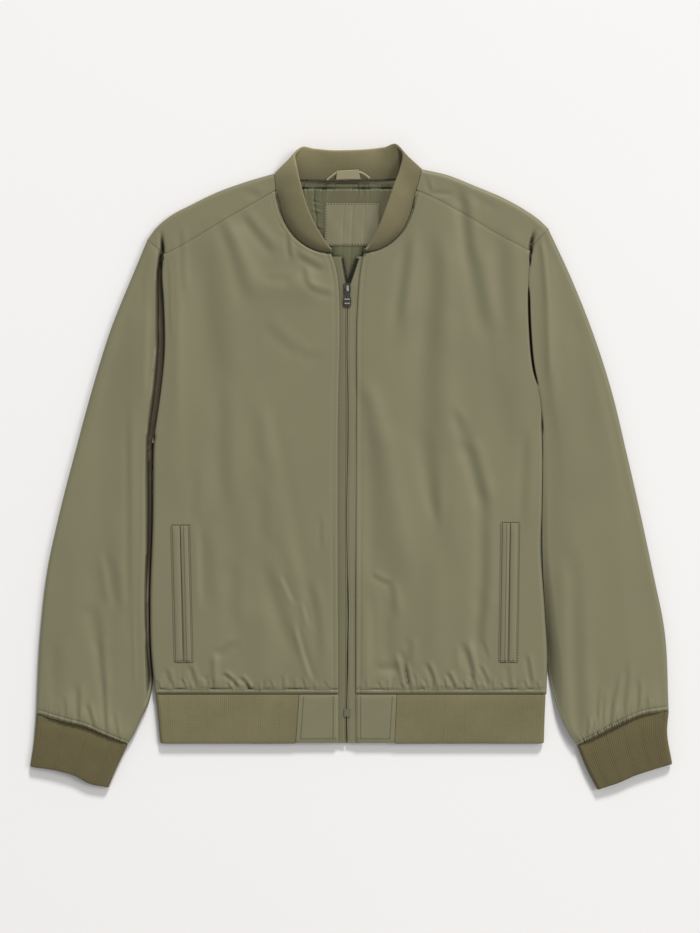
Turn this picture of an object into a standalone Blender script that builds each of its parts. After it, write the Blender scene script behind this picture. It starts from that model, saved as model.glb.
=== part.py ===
"""A bomber jacket laid flat, front up, with its sleeves down beside the body.

Lengths are in millimetres and become metres where a mesh is made. +Z is up and +Y runs to the
collar. Left and right are the wearer's: left is +X. The origin is on the surface the jacket lies
on, below the middle of its outline. Each cloth piece is a wall behind its outer face: rows of
outer points are worked out between the piece's seam lines, and the wall stands behind them.
"""

import math
from collections import namedtuple

import bmesh
import bpy
import numpy as np
from mathutils import Vector
from mathutils.bvhtree import BVHTree

MM = 0.001

# Driving sizes
GAP = 0.3  # between two pieces at a seam
CLOTH = 2.6  # shell, lining and the thin wadding between them
RIB = 3.0  # doubled knitted band
FOLD = 5.0  # radius of the body's side and shoulder folds, and of the sleeve's outer fold
INNER_FOLD = 3.5  # radius of the sleeve's fold beside the body
BAND_FOLD = 4.8  # radius of the folds of hem band and cuffs
SEAM_HEIGHT = 7.0  # of the armhole and side seams, in the groove beside the body
BODY_TOP = 10.0  # of the fronts over the surface, without folds
SLEEVE_CROWN = 1.2  # how much the middle of a sleeve stands over its outer fold
HEM_Y = -264.0  # seam between the body and its hem band
BAND_Y = -321.5  # lower edge of the hem band
CENTRE_X = -2.0  # middle of the back
SLIT_X = -4.7  # line where the two zip tapes meet
STEP = 22.0  # usual distance between rows of points

Place = namedtuple("Place", "x y")
Fold = namedtuple("Fold", "x0 y0 x1 y1 rise width")
Rim = namedtuple("Rim", "v x y z")

# Seam lines and folded edges of the two sides, seen from above: each a short list of places.
RIGHT = {
    "sign": -1,
    "side": (Place(-229, HEM_Y), Place(-234, -210), Place(-235, -161), Place(-232, -63),
             Place(-231.5, -14), Place(-231, 33)),
    "armhole": (Place(-231, 33), Place(-228, 58), Place(-222, 92), Place(-218, 135),
                Place(-217, 195), Place(-219, 228), Place(-219, 250)),
    "armhole_back": (Place(-228, 46), Place(-226, 90), Place(-224, 150), Place(-226, 220)),
    "front_edge": (Place(-15, HEM_Y), Place(-15, 80), Place(-13.5, 180), Place(-15, 217),
                   Place(-18, 234), Place(-23.5, 250.5)),
    "neck": (Place(-23.5, 250.5), Place(-41, 253.5), Place(-59, 263), Place(-74, 279),
             Place(-84.5, 303), Place(-89, 324)),
    "forward_seam": (Place(-89, 324), Place(-110, 312), Place(-154, 287), Place(-203, 258),
                     Place(-219, 250)),
    "shoulder": (Place(-90, 344), Place(-124, 334), Place(-157, 322), Place(-186, 308),
                 Place(-212, 294), Place(-227, 281.5), Place(-238, 267)),
    "neck_back": (Place(-75, 339), Place(-55, 337)),
    "sleeve_outer": (Place(-238, 267), Place(-253, 231), Place(-281, 162), Place(-303, 91),
                     Place(-322, 21), Place(-340, -49), Place(-355, -119), Place(-363, -189),
                     Place(-368, -288)),
    "sleeve_inner": (Place(-232.6, 5), Place(-233, -24), Place(-233, -63), Place(-236, -161),
                     Place(-235, -210), Place(-232.5, -252), Place(-236.5, -274),
                     Place(-246, -295), Place(-254, -312), Place(-261, -323)),
    "cuff_seam": (Place(-261, -323), Place(-288, -312.5), Place(-312, -302.5),
                  Place(-335, -297), Place(-368, -288)),
    "cuff_outer": (Place(-368, -288), Place(-370, -314), Place(-375, -348.5)),
    "cuff_inner": (Place(-261, -323), Place(-273.5, -349), Place(-284, -373.5)),
    "cuff_edge": (Place(-284, -373.5), Place(-302, -370), Place(-322, -360),
                  Place(-346, -353), Place(-375, -348.5)),
    "band_side": (Place(-228.5, HEM_Y), Place(-226, -289), Place(-223, BAND_Y)),
    "band_end": (Place(-61, HEM_Y), Place(-65, BAND_Y)),
    "collar_rim": (Rim(0.0, -24.5, 254, 14), Rim(0.1, -34, 270, 18), Rim(0.22, -43.5, 286, 21.5),
                   Rim(0.34, -52, 306, 23.5), Rim(0.45, -59, 330, 23.5), Rim(0.53, -64, 352, 21),
                   Rim(0.59, -66, 366, 16.5), Rim(0.65, -59, 374, 13), Rim(0.75, -43, 372.5, 13),
                   Rim(0.88, -22, 370.5, 14.5), Rim(1.0, CENTRE_X, 370.5, 15)),
    "pocket": (Place(-199.5, -67), Place(-195.5, -226)),
    "tape_opening": 0.17,
}
LEFT = {
    "sign": 1,
    "side": (Place(228, HEM_Y), Place(229, -221), Place(226, -165), Place(221.5, -93),
             Place(223, -40), Place(223, 42)),
    "armhole": (Place(223, 42), Place(221, 85), Place(214, 118), Place(209.5, 162),
                Place(206.5, 205), Place(205, 235), Place(206, 255)),
    "armhole_back": (Place(220.5, 56), Place(218, 95), Place(215, 155), Place(217, 225)),
    "front_edge": (Place(5, HEM_Y), Place(6, 80), Place(7, 186), Place(9, 217),
                   Place(11, 234), Place(14.5, 251.5)),
    "neck": (Place(14.5, 251.5), Place(29, 253.5), Place(43, 260), Place(60, 276),
             Place(71, 299), Place(77, 324)),
    "forward_seam": (Place(77, 324), Place(100, 314), Place(127, 300), Place(162, 279),
                     Place(206, 255)),
    "shoulder": (Place(83, 349), Place(110, 343), Place(146, 329), Place(179, 315),
                 Place(204, 301), Place(219, 290.5), Place(230, 280)),
    "neck_back": (Place(70, 342), Place(52, 339)),
    "sleeve_outer": (Place(230, 280), Place(253, 231), Place(281, 162), Place(304, 91),
                     Place(321, 21), Place(337, -49), Place(352, -119), Place(366, -189),
                     Place(371, -284)),
    "sleeve_inner": (Place(224.3, 12), Place(224.4, -24), Place(223.8, -63), Place(225, -130),
                     Place(229, -188), Place(231.5, -232), Place(237, -262), Place(243, -285),
                     Place(254, -309), Place(264, -324)),
    "cuff_seam": (Place(264, -324), Place(291, -311), Place(320, -297), Place(345, -287.5),
                  Place(371, -284)),
    "cuff_outer": (Place(371, -284), Place(369, -306), Place(375, -346)),
    "cuff_inner": (Place(264, -324), Place(276, -353), Place(288, -376)),
    "cuff_edge": (Place(288, -376), Place(311, -368.5), Place(331, -360), Place(352, -353),
                  Place(375, -346)),
    "band_side": (Place(227, HEM_Y), Place(226, -289), Place(225, BAND_Y)),
    "band_end": (Place(53.5, HEM_Y), Place(51, BAND_Y)),
    "collar_rim": (Rim(0.0, 19, 253.5, 14), Rim(0.1, 26, 268, 18), Rim(0.22, 34, 285, 21.5),
                   Rim(0.34, 42, 306, 24), Rim(0.45, 50, 328, 24.5), Rim(0.53, 57, 347, 22.5),
                   Rim(0.59, 60.5, 365, 18), Rim(0.65, 54, 377, 14), Rim(0.75, 38, 374, 13),
                   Rim(0.88, 17, 371.5, 14.5), Rim(1.0, CENTRE_X, 370.5, 15)),
    "pocket": (Place(185.5, -64), Place(183, -226)),
    "tape_opening": 0.33,
}
SIDES = {"right": RIGHT, "left": LEFT}

# The largest soft folds of the fronts: the line each runs along, how far it rises or, below
# zero, sinks, and how far it spreads to each side.
BODY_FOLDS = (
    Fold(-204, 180, -206, -20, 1.8, 13), Fold(-186, 250, -150, 100, -1.8, 15),
    Fold(-138, 278, -112, 205, 1.8, 15), Fold(-100, 240, -40, 205, 1.6, 18),
    Fold(-160, 30, -128, -150, -1.3, 12), Fold(-110, 80, -60, -150, 1.4, 14),
    Fold(-75, -90, -28, -245, 1.6, 9), Fold(-90, 60, -46, -170, -1.2, 9),
    Fold(128, 325, 160, 150, -2.2, 12), Fold(152, 270, 178, 90, 1.8, 12),
    Fold(86, 260, 92, -70, -2.4, 15), Fold(62, 250, 50, 130, -1.5, 12),
    Fold(114, 90, 122, -100, 2.0, 13), Fold(132, 60, 158, -60, -2.2, 8),
    Fold(158, -40, 148, -220, -2.0, 9), Fold(24, 90, 70, -130, 2.0, 13),
    Fold(24, 30, 24, -130, -1.6, 9), Fold(44, -120, 50, -250, -2.2, 9),
    Fold(28, -140, 32, -240, 1.8, 8), Fold(96, -100, 100, -235, 1.6, 12),
)
SLEEVE_FOLDS = (
    Fold(-250, 190, -252, -60, 1.2, 12), Fold(-282, 110, -300, -60, -1.5, 13),
    Fold(-276, -60, -268, -210, 1.8, 10), Fold(-300, -120, -290, -240, -1.8, 10),
    Fold(-322, -90, -330, -240, 1.5, 14), Fold(230, 240, 236, 60, 2.4, 8),
    Fold(262, 180, 276, 20, -1.5, 14), Fold(255, -60, 270, -210, 1.6, 12),
    Fold(276, -110, 284, -250, -2.0, 10), Fold(310, -60, 324, -230, 1.5, 14),
)
GATHER_PITCH = 15.0  # from one gather to the next over the hem and cuff seams
GATHER_RISE = 0.9  # largest height of a gather over and under the cloth
GATHER_REACH = 26.0  # how far the gathers run up from the seam
CUFF_GAP = 0.95  # between a sleeve and its cuff, where gathers meet the band

surfaces = {}  # each cloth wall as a tree that a piece lying on it is set on
facing = {}  # the outward direction at each outer point, so that the next piece's edge follows


# ---- lines, patches and heights ----


def line(points, smooth=True):
    """A line through points: the result takes fractions of its length."""
    p = np.array([tuple(q) for q in points], float)
    run = np.concatenate([[0], np.cumsum(np.linalg.norm(np.diff(p, axis=0), axis=1))])
    at = run / run[-1]
    slope = np.gradient(p, at, axis=0) if smooth else None

    def point(t):
        t = np.clip(np.asarray(t, float), 0, 1)
        if not smooth:
            return np.stack([np.interp(t, at, p[:, k]) for k in range(p.shape[1])], axis=-1)
        i = np.clip(np.searchsorted(at, t, side="right") - 1, 0, len(at) - 2)
        h = (at[i + 1] - at[i])[..., None]
        s = (t - at[i])[..., None] / h
        return (
            (1 + 2 * s) * (1 - s) ** 2 * p[i]
            + s * (1 - s) ** 2 * h * slope[i]
            + s * s * (3 - 2 * s) * p[i + 1]
            + s * s * (s - 1) * h * slope[i + 1]
        )

    point.at = at
    point.length = run[-1]
    return point


def steps(length, step=STEP):
    """How many equal steps of about that size a length takes."""
    return max(1, round(length / step))


def ease(t):
    """0 to 1, flat at both ends."""
    t = np.clip(t, 0, 1)
    return t * t * (3 - 2 * t)


def unit(v):
    return v / np.linalg.norm(v)


def inset(edge, t, distance, sign):
    """Points that far inside a folded edge, towards the piece's middle."""
    d = edge(np.clip(t + 0.01, 0, 1)) - edge(np.clip(t - 0.01, 0, 1))
    d /= np.linalg.norm(d, axis=-1, keepdims=True)
    inward = np.stack([-sign * d[..., 1], sign * d[..., 0]], axis=-1)
    return edge(t) + inward * np.asarray(distance)[..., None]


def patch(bottom, top, start, end, across, up):
    """The plan of a panel between four seam lines, for one row: across holds fractions."""
    a = across[:, None]
    low = bottom(across) + (1 - a) * (start(0.0) - bottom(0.0)) + a * (end(0.0) - bottom(1.0))
    high = top(across) + (1 - a) * (start(1.0) - top(0.0)) + a * (end(1.0) - top(1.0))
    flat = (1 - a) * start(up) + a * end(up)
    corners_low = (1 - a) * start(0.0) + a * end(0.0)
    corners_high = (1 - a) * start(1.0) + a * end(1.0)
    return flat + (1 - up) * (low - corners_low) + up * (high - corners_high)


def relief(plan, folds):
    """How far the folds lift the cloth at points seen from above."""
    x, y = plan[..., 0], plan[..., 1]
    z = np.zeros_like(x)
    for f in folds:
        dx, dy = f.x1 - f.x0, f.y1 - f.y0
        size = math.hypot(dx, dy)
        along = ((x - f.x0) * dx + (y - f.y0) * dy) / size**2
        across = ((x - f.x0) * dy - (y - f.y0) * dx) / size
        end = ease(along / 0.3 + 0.5) * ease((1 - along) / 0.3 + 0.5)
        z += f.rise * np.exp(-((across / f.width) ** 2)) * end
    return z


def gathers(along, away):
    """The small waves over a seam, at a distance along it and away from it."""
    wave = np.sin(2 * math.pi * along / GATHER_PITCH + 1.3 * np.sin(along / 31.0))
    uneven = 0.75 + 0.25 * np.sin(along / 23.0 + 1.0)
    return GATHER_RISE * wave * uneven * ease(1 - away / GATHER_REACH) * ease(away / 4.0 + 0.35)


def body_top(plan):
    """Height of the fronts' outer face at points seen from above."""
    away = plan[..., 1] - HEM_Y
    return BODY_TOP + relief(plan, BODY_FOLDS) + gathers(plan[..., 0], away)


# ---- meshes ----


def material(name, colour, roughness, metallic=0.0):
    made = bpy.data.materials.new(name)
    made.use_nodes = True
    shader = made.node_tree.nodes["Principled BSDF"]
    shader.inputs["Base Color"].default_value = (*colour, 1.0)
    shader.inputs["Roughness"].default_value = roughness
    shader.inputs["Metallic"].default_value = metallic
    return made


def add_object(name, bm, look):
    mesh = bpy.data.meshes.new(name)
    bm.to_mesh(mesh)
    bm.free()
    mesh.materials.append(look)
    made = bpy.data.objects.new(name, mesh)
    bpy.context.collection.objects.link(made)
    return made


def stitch(bm, lower, upper):
    """Faces between two rows, each a list of (fraction, vertex), of any two lengths."""
    i = j = 0
    faces = []
    while i < len(lower) - 1 or j < len(upper) - 1:
        next_low = lower[i + 1][0] if i < len(lower) - 1 else math.inf
        next_high = upper[j + 1][0] if j < len(upper) - 1 else math.inf
        corners = [lower[i][1]]
        if next_low <= next_high + 1e-6:
            corners.append(lower[i + 1][1])
            i += 1
        if next_high <= next_low + 1e-6:
            corners += [upper[j + 1][1], upper[j][1]]
            j += 1
        else:
            corners.append(upper[j][1])
        faces.append(corners)
    for corners in faces:
        distinct = list(dict.fromkeys(corners))
        if len(distinct) > 2:
            bm.faces.new(distinct)


def wall(name, rows, thick, look, flip=False, closed=False, soften=0):
    """A wall of cloth behind rows of outer points: each row is (fractions, points).

    A point is (x, y, z), or those and the outward direction there. A closed row is a ring.
    flip turns the outer side over.
    """
    bm = bmesh.new()
    outward = {}
    made = []
    for fractions, points in rows:
        ring = [(f, add_point(bm, p, outward)) for f, p in zip(fractions, points)]
        made.append(ring + [(1.0, ring[0][1])] if closed else ring)
    for lower, upper in zip(made, made[1:]):
        stitch(bm, lower, upper)
    return thicken(name, bm, outward, thick, look, flip, soften)


def add_point(bm, point, outward):
    vert = bm.verts.new(Vector(point[:3]) * MM)
    if len(point) > 3:
        outward[vert] = Vector(point[3:])
    return vert


def key_of(point):
    return tuple(round(float(c), 1) for c in point)


def thicken(name, bm, outward, thick, look, flip=False, soften=0):
    """Closes outer faces into a wall, with the inner face that far behind them.

    soften evens the directions to the inner face out, that many times over, apart from those
    that came with their points.
    """
    if flip:
        bmesh.ops.reverse_faces(bm, faces=bm.faces)
    bm.normal_update()
    outer = list(bm.faces)
    rim = [e for e in bm.edges if e.is_boundary]
    ways = {v: outward.get(v, v.normal).copy() for v in bm.verts}
    for _ in range(soften):
        ways = {
            v: way if v in outward else
            (way + sum((ways[e.other_vert(v)] for e in v.link_edges), Vector())).normalized()
            for v, way in ways.items()
        }
    facing.update({key_of(v.co / MM): way for v, way in ways.items()})
    behind = {v: bm.verts.new(v.co - way * thick * MM) for v, way in ways.items()}
    for face in outer:
        bm.faces.new([behind[v] for v in reversed(face.verts)])
    for edge in rim:
        loop = edge.link_loops[0]
        a, b = loop.vert, loop.link_loop_next.vert
        bm.faces.new([b, a, behind[a], behind[b]])
    bmesh.ops.triangulate(bm, faces=[f for f in bm.faces if len(f.verts) > 3])
    bm.normal_update()
    surfaces[name] = BVHTree.FromBMesh(bm)
    return add_object(name, bm, look)


def top_of(names, x, y):
    """Height of the highest of those walls at a point seen from above."""
    above = Vector((x * MM, y * MM, 1.0))
    hits = [surfaces[n].ray_cast(above, Vector((0, 0, -1)))[0] for n in names]
    return max(h.z for h in hits if h is not None) / MM


def strip_on(name, names, left, right, count, thick, look, lift=GAP, columns=2):
    """A flat piece lying on walls, between two lines of the same length."""
    rows = []
    across = np.linspace(0, 1, columns + 1)
    for t in np.linspace(0, 1, count + 1):
        plan = left(t) + (right(t) - left(t)) * across[:, None]
        points = [(x, y, top_of(names, x, y) + lift + thick) for x, y in plan]
        rows.append((across, points))
    return wall(name, rows, thick, look)


def block(bm, low, high):
    """A box between two corners."""
    made = bmesh.ops.create_cube(bm, size=1.0)["verts"]
    for v in made:
        v.co = Vector([low[k] + (v.co[k] + 0.5) * (high[k] - low[k]) for k in range(3)]) * MM
    return made


def prism(bm, outline, x0, x1):
    """A solid with an outline of (y, z) points, from x0 to x1."""
    ends = [[bm.verts.new(Vector((x, y, z)) * MM) for y, z in outline] for x in (x0, x1)]
    bm.faces.new(ends[0])
    bm.faces.new(list(reversed(ends[1])))
    for i in range(len(outline)):
        j = (i + 1) % len(outline)
        bm.faces.new([ends[0][j], ends[0][i], ends[1][i], ends[1][j]])
    bmesh.ops.recalc_face_normals(bm, faces=bm.faces)


# ---- the body ----


def seam_height(t):
    """Height of the armhole seam, from the armpit at 0 to the forward seam at 1."""
    return SEAM_HEIGHT + (BODY_TOP - 0.4 - SEAM_HEIGHT) * ease((t - 0.72) / 0.28)


def front_rows(side):
    """Rows of one front, hem to shoulder, and the points of its armhole and neck edges."""
    sign = side["sign"]
    edge = line(side["side"] + side["armhole"][1:])
    armpit = edge.at[len(side["side"]) - 1]
    bottom = line((Place(side["front_edge"][0].x, HEM_Y), side["side"][0]))
    neck, forward = line(side["neck"]), line(side["forward_seam"])
    share = 0.36  # of the columns that end at the neck

    def top(f):
        f = np.asarray(f, float)[..., None]
        at_neck, at_seam = neck(f[..., 0] / share), forward((f[..., 0] - share) / (1 - share))
        return np.where(f < share, at_neck, at_seam)

    def rise(b):
        t = np.clip((np.asarray(b, float) - armpit) / (1 - armpit), 0, 1)
        return seam_height(t)

    def roll(b):
        return np.arcsin((rise(b) - FOLD) / FOLD)

    def shoulder_line(b):
        return inset(edge, np.asarray(b, float), FOLD * np.cos(roll(b)), sign)

    start = line(side["front_edge"])
    coarse = np.linspace(0, 1, 13)
    fine = np.linspace(0, 1, 61)
    high = np.concatenate([np.linspace(0, share, 9), np.linspace(share, 1, 9)[1:]])
    total = edge.length
    levels = [0, 6 / total, 14 / total, 26 / total]
    levels += list(np.linspace(44 / total, armpit, steps(armpit * total - 44)))
    above = np.linspace(armpit, 1, steps((1 - armpit) * total) + 1)[1:]
    levels += list(above)
    rows, armhole = [], []
    for b in levels:
        across = fine if b < 20 / total else coarse if b < 0.8 else high
        plan = patch(bottom, top, start, shoulder_line, across, b)
        points = [(*p, z) for p, z in zip(plan, body_top(plan))]
        last = np.array(points[-1])
        tip = edge(np.array(b))
        seam = float(rise(b))
        low = float(roll(b))
        for k in (1, 2, 3):
            turn = math.pi / 2 + (low - math.pi / 2) * k / 3
            out = math.cos(turn) / math.cos(low)
            up = (math.sin(turn) - math.sin(low)) / (1 - math.sin(low))
            way = unit(tip - last[:2]) * math.cos(turn)
            place = last[:2] + (tip - last[:2]) * out
            points.append((*place, seam + (last[2] - seam) * up, *way, math.sin(turn)))
        fractions = np.concatenate([across, [1.1, 1.2, 1.3]])
        rows.append((fractions, points))
        if b >= armpit - 1e-9:
            armhole.append(points[-1][:3])
    return rows, armhole, rows[-1][1][:9], rows[-1][1][8:17]


def back_half(side, forward_points):
    """Rows of half the back, centre to side, its wing over the shoulder, and its edges."""
    sign = side["sign"]
    low_turn = math.asin((SEAM_HEIGHT - FOLD) / FOLD) - 2 * GAP / FOLD
    side_edge = line(side["side"])
    inner = [inset(side_edge, t, FOLD, sign) for t in np.linspace(0, 1, 7)]
    shoulder = line(side["shoulder"])
    tip = shoulder(1.0)
    end = np.array(forward_points[-1][:2])
    under = tip + (end - tip) / np.linalg.norm(end - tip) * FOLD
    edge = line([*inner, *side["armhole_back"], under])
    armpit = edge.at[6]
    start = line((Place(CENTRE_X, HEM_Y), Place(CENTRE_X, 336)))
    share = 0.38
    forward = line([p[:2] for p in forward_points], smooth=False)

    def fold_start(t):
        outline, seam = shoulder(t), forward(t)
        way = (seam - outline) / np.linalg.norm(seam - outline, axis=-1, keepdims=True)
        return outline + way * FOLD

    neck = line([Place(CENTRE_X, 336), *reversed(side["neck_back"]), fold_start(np.array(0.0))])

    def top(f):
        f = np.asarray(f, float)[..., None]
        return np.where(f < share, neck(f[..., 0] / share),
                        fold_start(np.clip((f[..., 0] - share) / (1 - share), 0, 1)))

    bottom = line((Place(CENTRE_X, HEM_Y), inner[0]))
    across = np.concatenate([np.linspace(0, share, 5), np.linspace(share, 1, 9)[1:]])
    below = np.linspace(0, armpit, 9)
    above = np.linspace(edge.at[7], 1, 8)
    rows, armhole = [], []
    for b in [*below, *above]:
        plan = patch(bottom, top, start, edge, across, b)
        points = [(*p, 0.0) for p in plan]
        fractions = list(across)
        if b <= armpit + 1e-9:
            last, out = plan[-1], side_edge(np.array(b / armpit))
            for k in (1, 2, 3, 4):
                turn = -math.pi / 2 + (low_turn + math.pi / 2) * k / 4
                place = last + (out - last) * math.cos(turn)
                way = unit(out - last) * math.cos(turn)
                points.append((*place, FOLD + FOLD * math.sin(turn), *way, math.sin(turn)))
                fractions.append(1 + 0.1 * k)
        else:
            armhole.append(points[-1])
        rows.append((np.array(fractions), points))
    wing = []
    columns = np.linspace(0, 1, 9)
    outline, seam = shoulder(columns), forward(forward.at)
    for turn in np.radians([-45, 0, 45, 90]):
        start_points = fold_start(columns)
        place = start_points + (outline - start_points) * math.cos(turn)
        wing.append([(*p, FOLD + FOLD * math.sin(turn)) for p in place])
    for t in (0.5, 1.0):
        start_points = fold_start(columns)
        way = seam - start_points
        reach = 1 - GAP * (t == 1.0) / np.linalg.norm(way, axis=-1, keepdims=True)
        place = start_points + way * t * reach
        height = BODY_TOP + (body_top(place) - BODY_TOP) * t
        wing.append([(*p, z) for p, z in zip(place, height)])
    return rows, wing, armhole


def back_panel(halves, look):
    """One panel from both halves: the wings join it along the shoulder folds."""
    right, left = halves["right"], halves["left"]
    bm = bmesh.new()
    outward, made = {}, []
    for (f_right, p_right), (f_left, p_left) in zip(right[0], left[0]):
        points = list(reversed(p_right)) + list(p_left[1:])
        fractions = [-f for f in reversed(f_right)] + list(f_left[1:])
        made.append([(f, add_point(bm, p, outward)) for f, p in zip(fractions, points)])
    for lower, upper in zip(made, made[1:]):
        stitch(bm, lower, upper)
    for half, picked in ((right, made[-1][:9][::-1]), (left, made[-1][-9:])):
        lower = picked
        for row in half[1]:
            upper = [(f, add_point(bm, p, outward)) for (f, _), p in zip(picked, row)]
            for k in range(8):
                corners = [lower[k][1], lower[k + 1][1], upper[k + 1][1], upper[k][1]]
                bm.faces.new(corners if half is left else corners[::-1])
            lower = upper
    return thicken("back_panel", bm, outward, CLOTH, look, flip=True)


# ---- sleeves, cuffs and bands ----


def ring(outer_tip, inner_tip, top, under, radii, turns):
    """A flattened ring: its top row, the outer fold, its underside and the inner fold."""
    fractions, points = list(np.linspace(0, 0.45, len(top))), list(top)
    folds = ((outer_tip, top[-1], under[0], radii[0], turns, 0.45),
             (inner_tip, top[0], under[-1], radii[1], turns[::-1], 0.95))
    for tip, over, below, radius, order, start in folds:
        over, below = np.array(over[:2]), np.array(below[:2])
        for k, turn in enumerate(order):
            height = (1 + math.sin(turn)) / 2
            place = below + (over - below) * height + (tip - over) * math.cos(turn)
            way = unit(tip - over) * math.cos(turn)
            points.append((*place, 2 * radius * height, *way, math.sin(turn)))
            fractions.append(start + 0.05 * (k + 1) / (len(order) + 1))
        if start < 0.5:
            fractions += list(np.linspace(0.5, 0.95, len(under)))
            points += list(under)
    return np.array(fractions), points


def with_facing(point):
    """A panel's outer point with the direction that its wall has there."""
    return np.array([*point, *facing[key_of(point)]])


def sleeve(name, side, armhole, back_armhole, wing, look):
    """A one-piece sleeve: a flat tube from the armhole ring to the cuff seam."""
    sign = side["sign"]
    apart = np.array((0.36 * sign, -0.14))
    turns = np.radians([45, 0, -45])
    # The armhole ring: up the front, over the shoulder fold and down the back.
    front_ring = [np.array(p) for p in armhole]
    front_ring += [with_facing(wing[k][-1]) for k in (4, 3)]
    fold_points = [with_facing(wing[k][-1]) for k in (2, 1, 0)]
    back_ring = [with_facing(p) for p in reversed(back_armhole)]
    for group in (front_ring, fold_points, back_ring):
        for p in group:
            p[:2] += apart
    for p in (front_ring[0], back_ring[-1]):
        p[0] += 0.9 * sign
    ring_top = line([p[:2] for p in front_ring], smooth=False)
    ring_under = line([p[:2] for p in reversed(back_ring)], smooth=False)
    top_at, under_at = ring_top.at, ring_under.at
    ring_height = np.array([p[2] for p in front_ring])

    outer = line(side["sleeve_outer"])
    inner = line([front_ring[0][:2], *side["sleeve_inner"]])
    seam = line(side["cuff_seam"])
    length = outer.length
    outer_in = line([front_ring[-1][:2]] + [
        inset(outer, t, FOLD, -sign) for t in np.linspace(0.03, 1, 14)])
    armpit, armpit_back = front_ring[0][:2], back_ring[-1][:2]

    def inner_in(t):
        t = np.asarray(t, float)
        return inset(inner, t, INNER_FOLD * ease(t / 0.04), sign)

    def under_in(t):
        away = (1 - ease(np.asarray(t, float) / 0.07))[..., None]
        return inner_in(t) + (armpit_back - armpit) * away

    def spread(plan, across, up):
        """Moves a row away from the armhole seam, most near the armpit."""
        run = up * length
        share = across**0.5 * (1 - across) ** 1.5 / 0.325
        plan[:, 0] += sign * 0.8 * run * math.exp(-run / 60) * share
        return plan

    def height(plan, across, up):
        width = 236 + (115 - 236) * up
        from_inner = across * width
        full = 2 * FOLD + SLEEVE_CROWN * np.sin(math.pi * across)
        z = 2 * INNER_FOLD + (full - 2 * INNER_FOLD) * ease(from_inner / 22)
        folds = relief(plan, SLEEVE_FOLDS) * ease(from_inner / 25) * ease((1 - across) * width / 18)
        near = np.interp(across, top_at, ring_height)
        start = ease(up * length / 24)
        away = (1 - up) * length
        return near + (z + folds - near) * start + gathers(across * 115, away) * ease(
            from_inner / 12) * ease((1 - across) * width / 10)

    fine = np.linspace(0, 1, 37)
    rows = [(np.concatenate([
        np.linspace(0, 0.45, len(front_ring)), [0.4625, 0.475, 0.4875],
        np.linspace(0.5, 0.95, len(back_ring)), [0.9625, 0.975, 0.9875]]), None)]
    link = [back_ring[-1][:3] + (front_ring[0][:3] - back_ring[-1][:3]) * k / 4
            for k in (1, 2, 3)]
    rows[0] = (rows[0][0], [tuple(p) for p in front_ring + fold_points + back_ring + link])
    levels = [8 / length, 20 / length, *np.linspace(42 / length, 1 - 46 / length, 16)]
    levels += [1 - 26 / length, 1 - 14 / length, 1 - 6 / length, 1.0]
    for up in levels:
        across = fine if up > 1 - 20 / length else top_at
        plan = spread(patch(ring_top, seam, inner_in, outer_in, across, up), across, up)
        top = [(*p, z) for p, z in zip(plan, height(plan, across, up))]
        flat = patch(ring_under, seam, under_in, outer_in, under_at, up)
        flat = spread(flat, under_at, up)
        under = [(*p, 0.0) for p in flat[::-1]]
        tips = outer(np.array(up)), inner(np.array(up))
        rows.append(ring(*tips, top, under, (FOLD, INNER_FOLD), turns))
    wall(name, rows, CLOTH, look, closed=True, flip=sign > 0, soften=3)


def cuff(name, side, look):
    """A ribbed cuff: a flat tube from the sleeve's seam to its turned edge."""
    sign = side["sign"]
    turns = np.radians([60, 30, 0, -30, -60])
    outer, inner = line(side["cuff_outer"]), line(side["cuff_inner"])
    seam, edge = line(side["cuff_seam"]), line(side["cuff_edge"])
    outer_in = line([inset(outer, t, BAND_FOLD, -sign) for t in np.linspace(0, 1, 6)])
    inner_in = line([inset(inner, t, BAND_FOLD, sign) for t in np.linspace(0, 1, 6)])
    across = np.linspace(0, 1, 10)
    first = CUFF_GAP / outer.length
    rows = []
    for up in np.linspace(first, 1, 5):
        plan = patch(seam, edge, inner_in, outer_in, across, up)
        crown = 2 * BAND_FOLD + 0.8 * np.sin(math.pi * across)
        top = [(*p, z) for p, z in zip(plan, crown)]
        under = [(*p, 0.0) for p in plan[::-1]]
        tips = outer(np.array(up)), inner(np.array(up))
        rows.append(ring(*tips, top, under, (BAND_FOLD, BAND_FOLD), turns))
    wall(name, rows, RIB, look, closed=True, flip=sign > 0)


def hem_band(look):
    """The ribbed hem: from one tab round the back to the other."""
    rows = []
    turns = np.radians([60, 30, 0, -30, -60])
    for up in np.linspace(0, 1, 4):
        points = []
        for side in (RIGHT, LEFT):
            sign = side["sign"]
            edge, end = line(side["band_side"]), line(side["band_end"])
            tip = edge(np.array(up))
            fold = tip - np.array((sign * BAND_FOLD, 0.0))
            finish = end(np.array(up))
            y = HEM_Y - GAP + (BAND_Y - HEM_Y + GAP) * up
            half = []
            for x in np.linspace(finish[0], fold[0], 9):
                half.append((x, y, 2 * BAND_FOLD))
            for turn in turns:
                half.append((fold[0] + sign * BAND_FOLD * math.cos(turn), y,
                             BAND_FOLD + BAND_FOLD * math.sin(turn)))
            for x in np.linspace(fold[0], CENTRE_X, 7):
                half.append((x, y, 0.0))
            points += half if side is RIGHT else half[::-1][1:]
        rows.append((np.linspace(0, 1, len(points)), points))
    wall("hem_band", rows, RIB, look)


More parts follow.
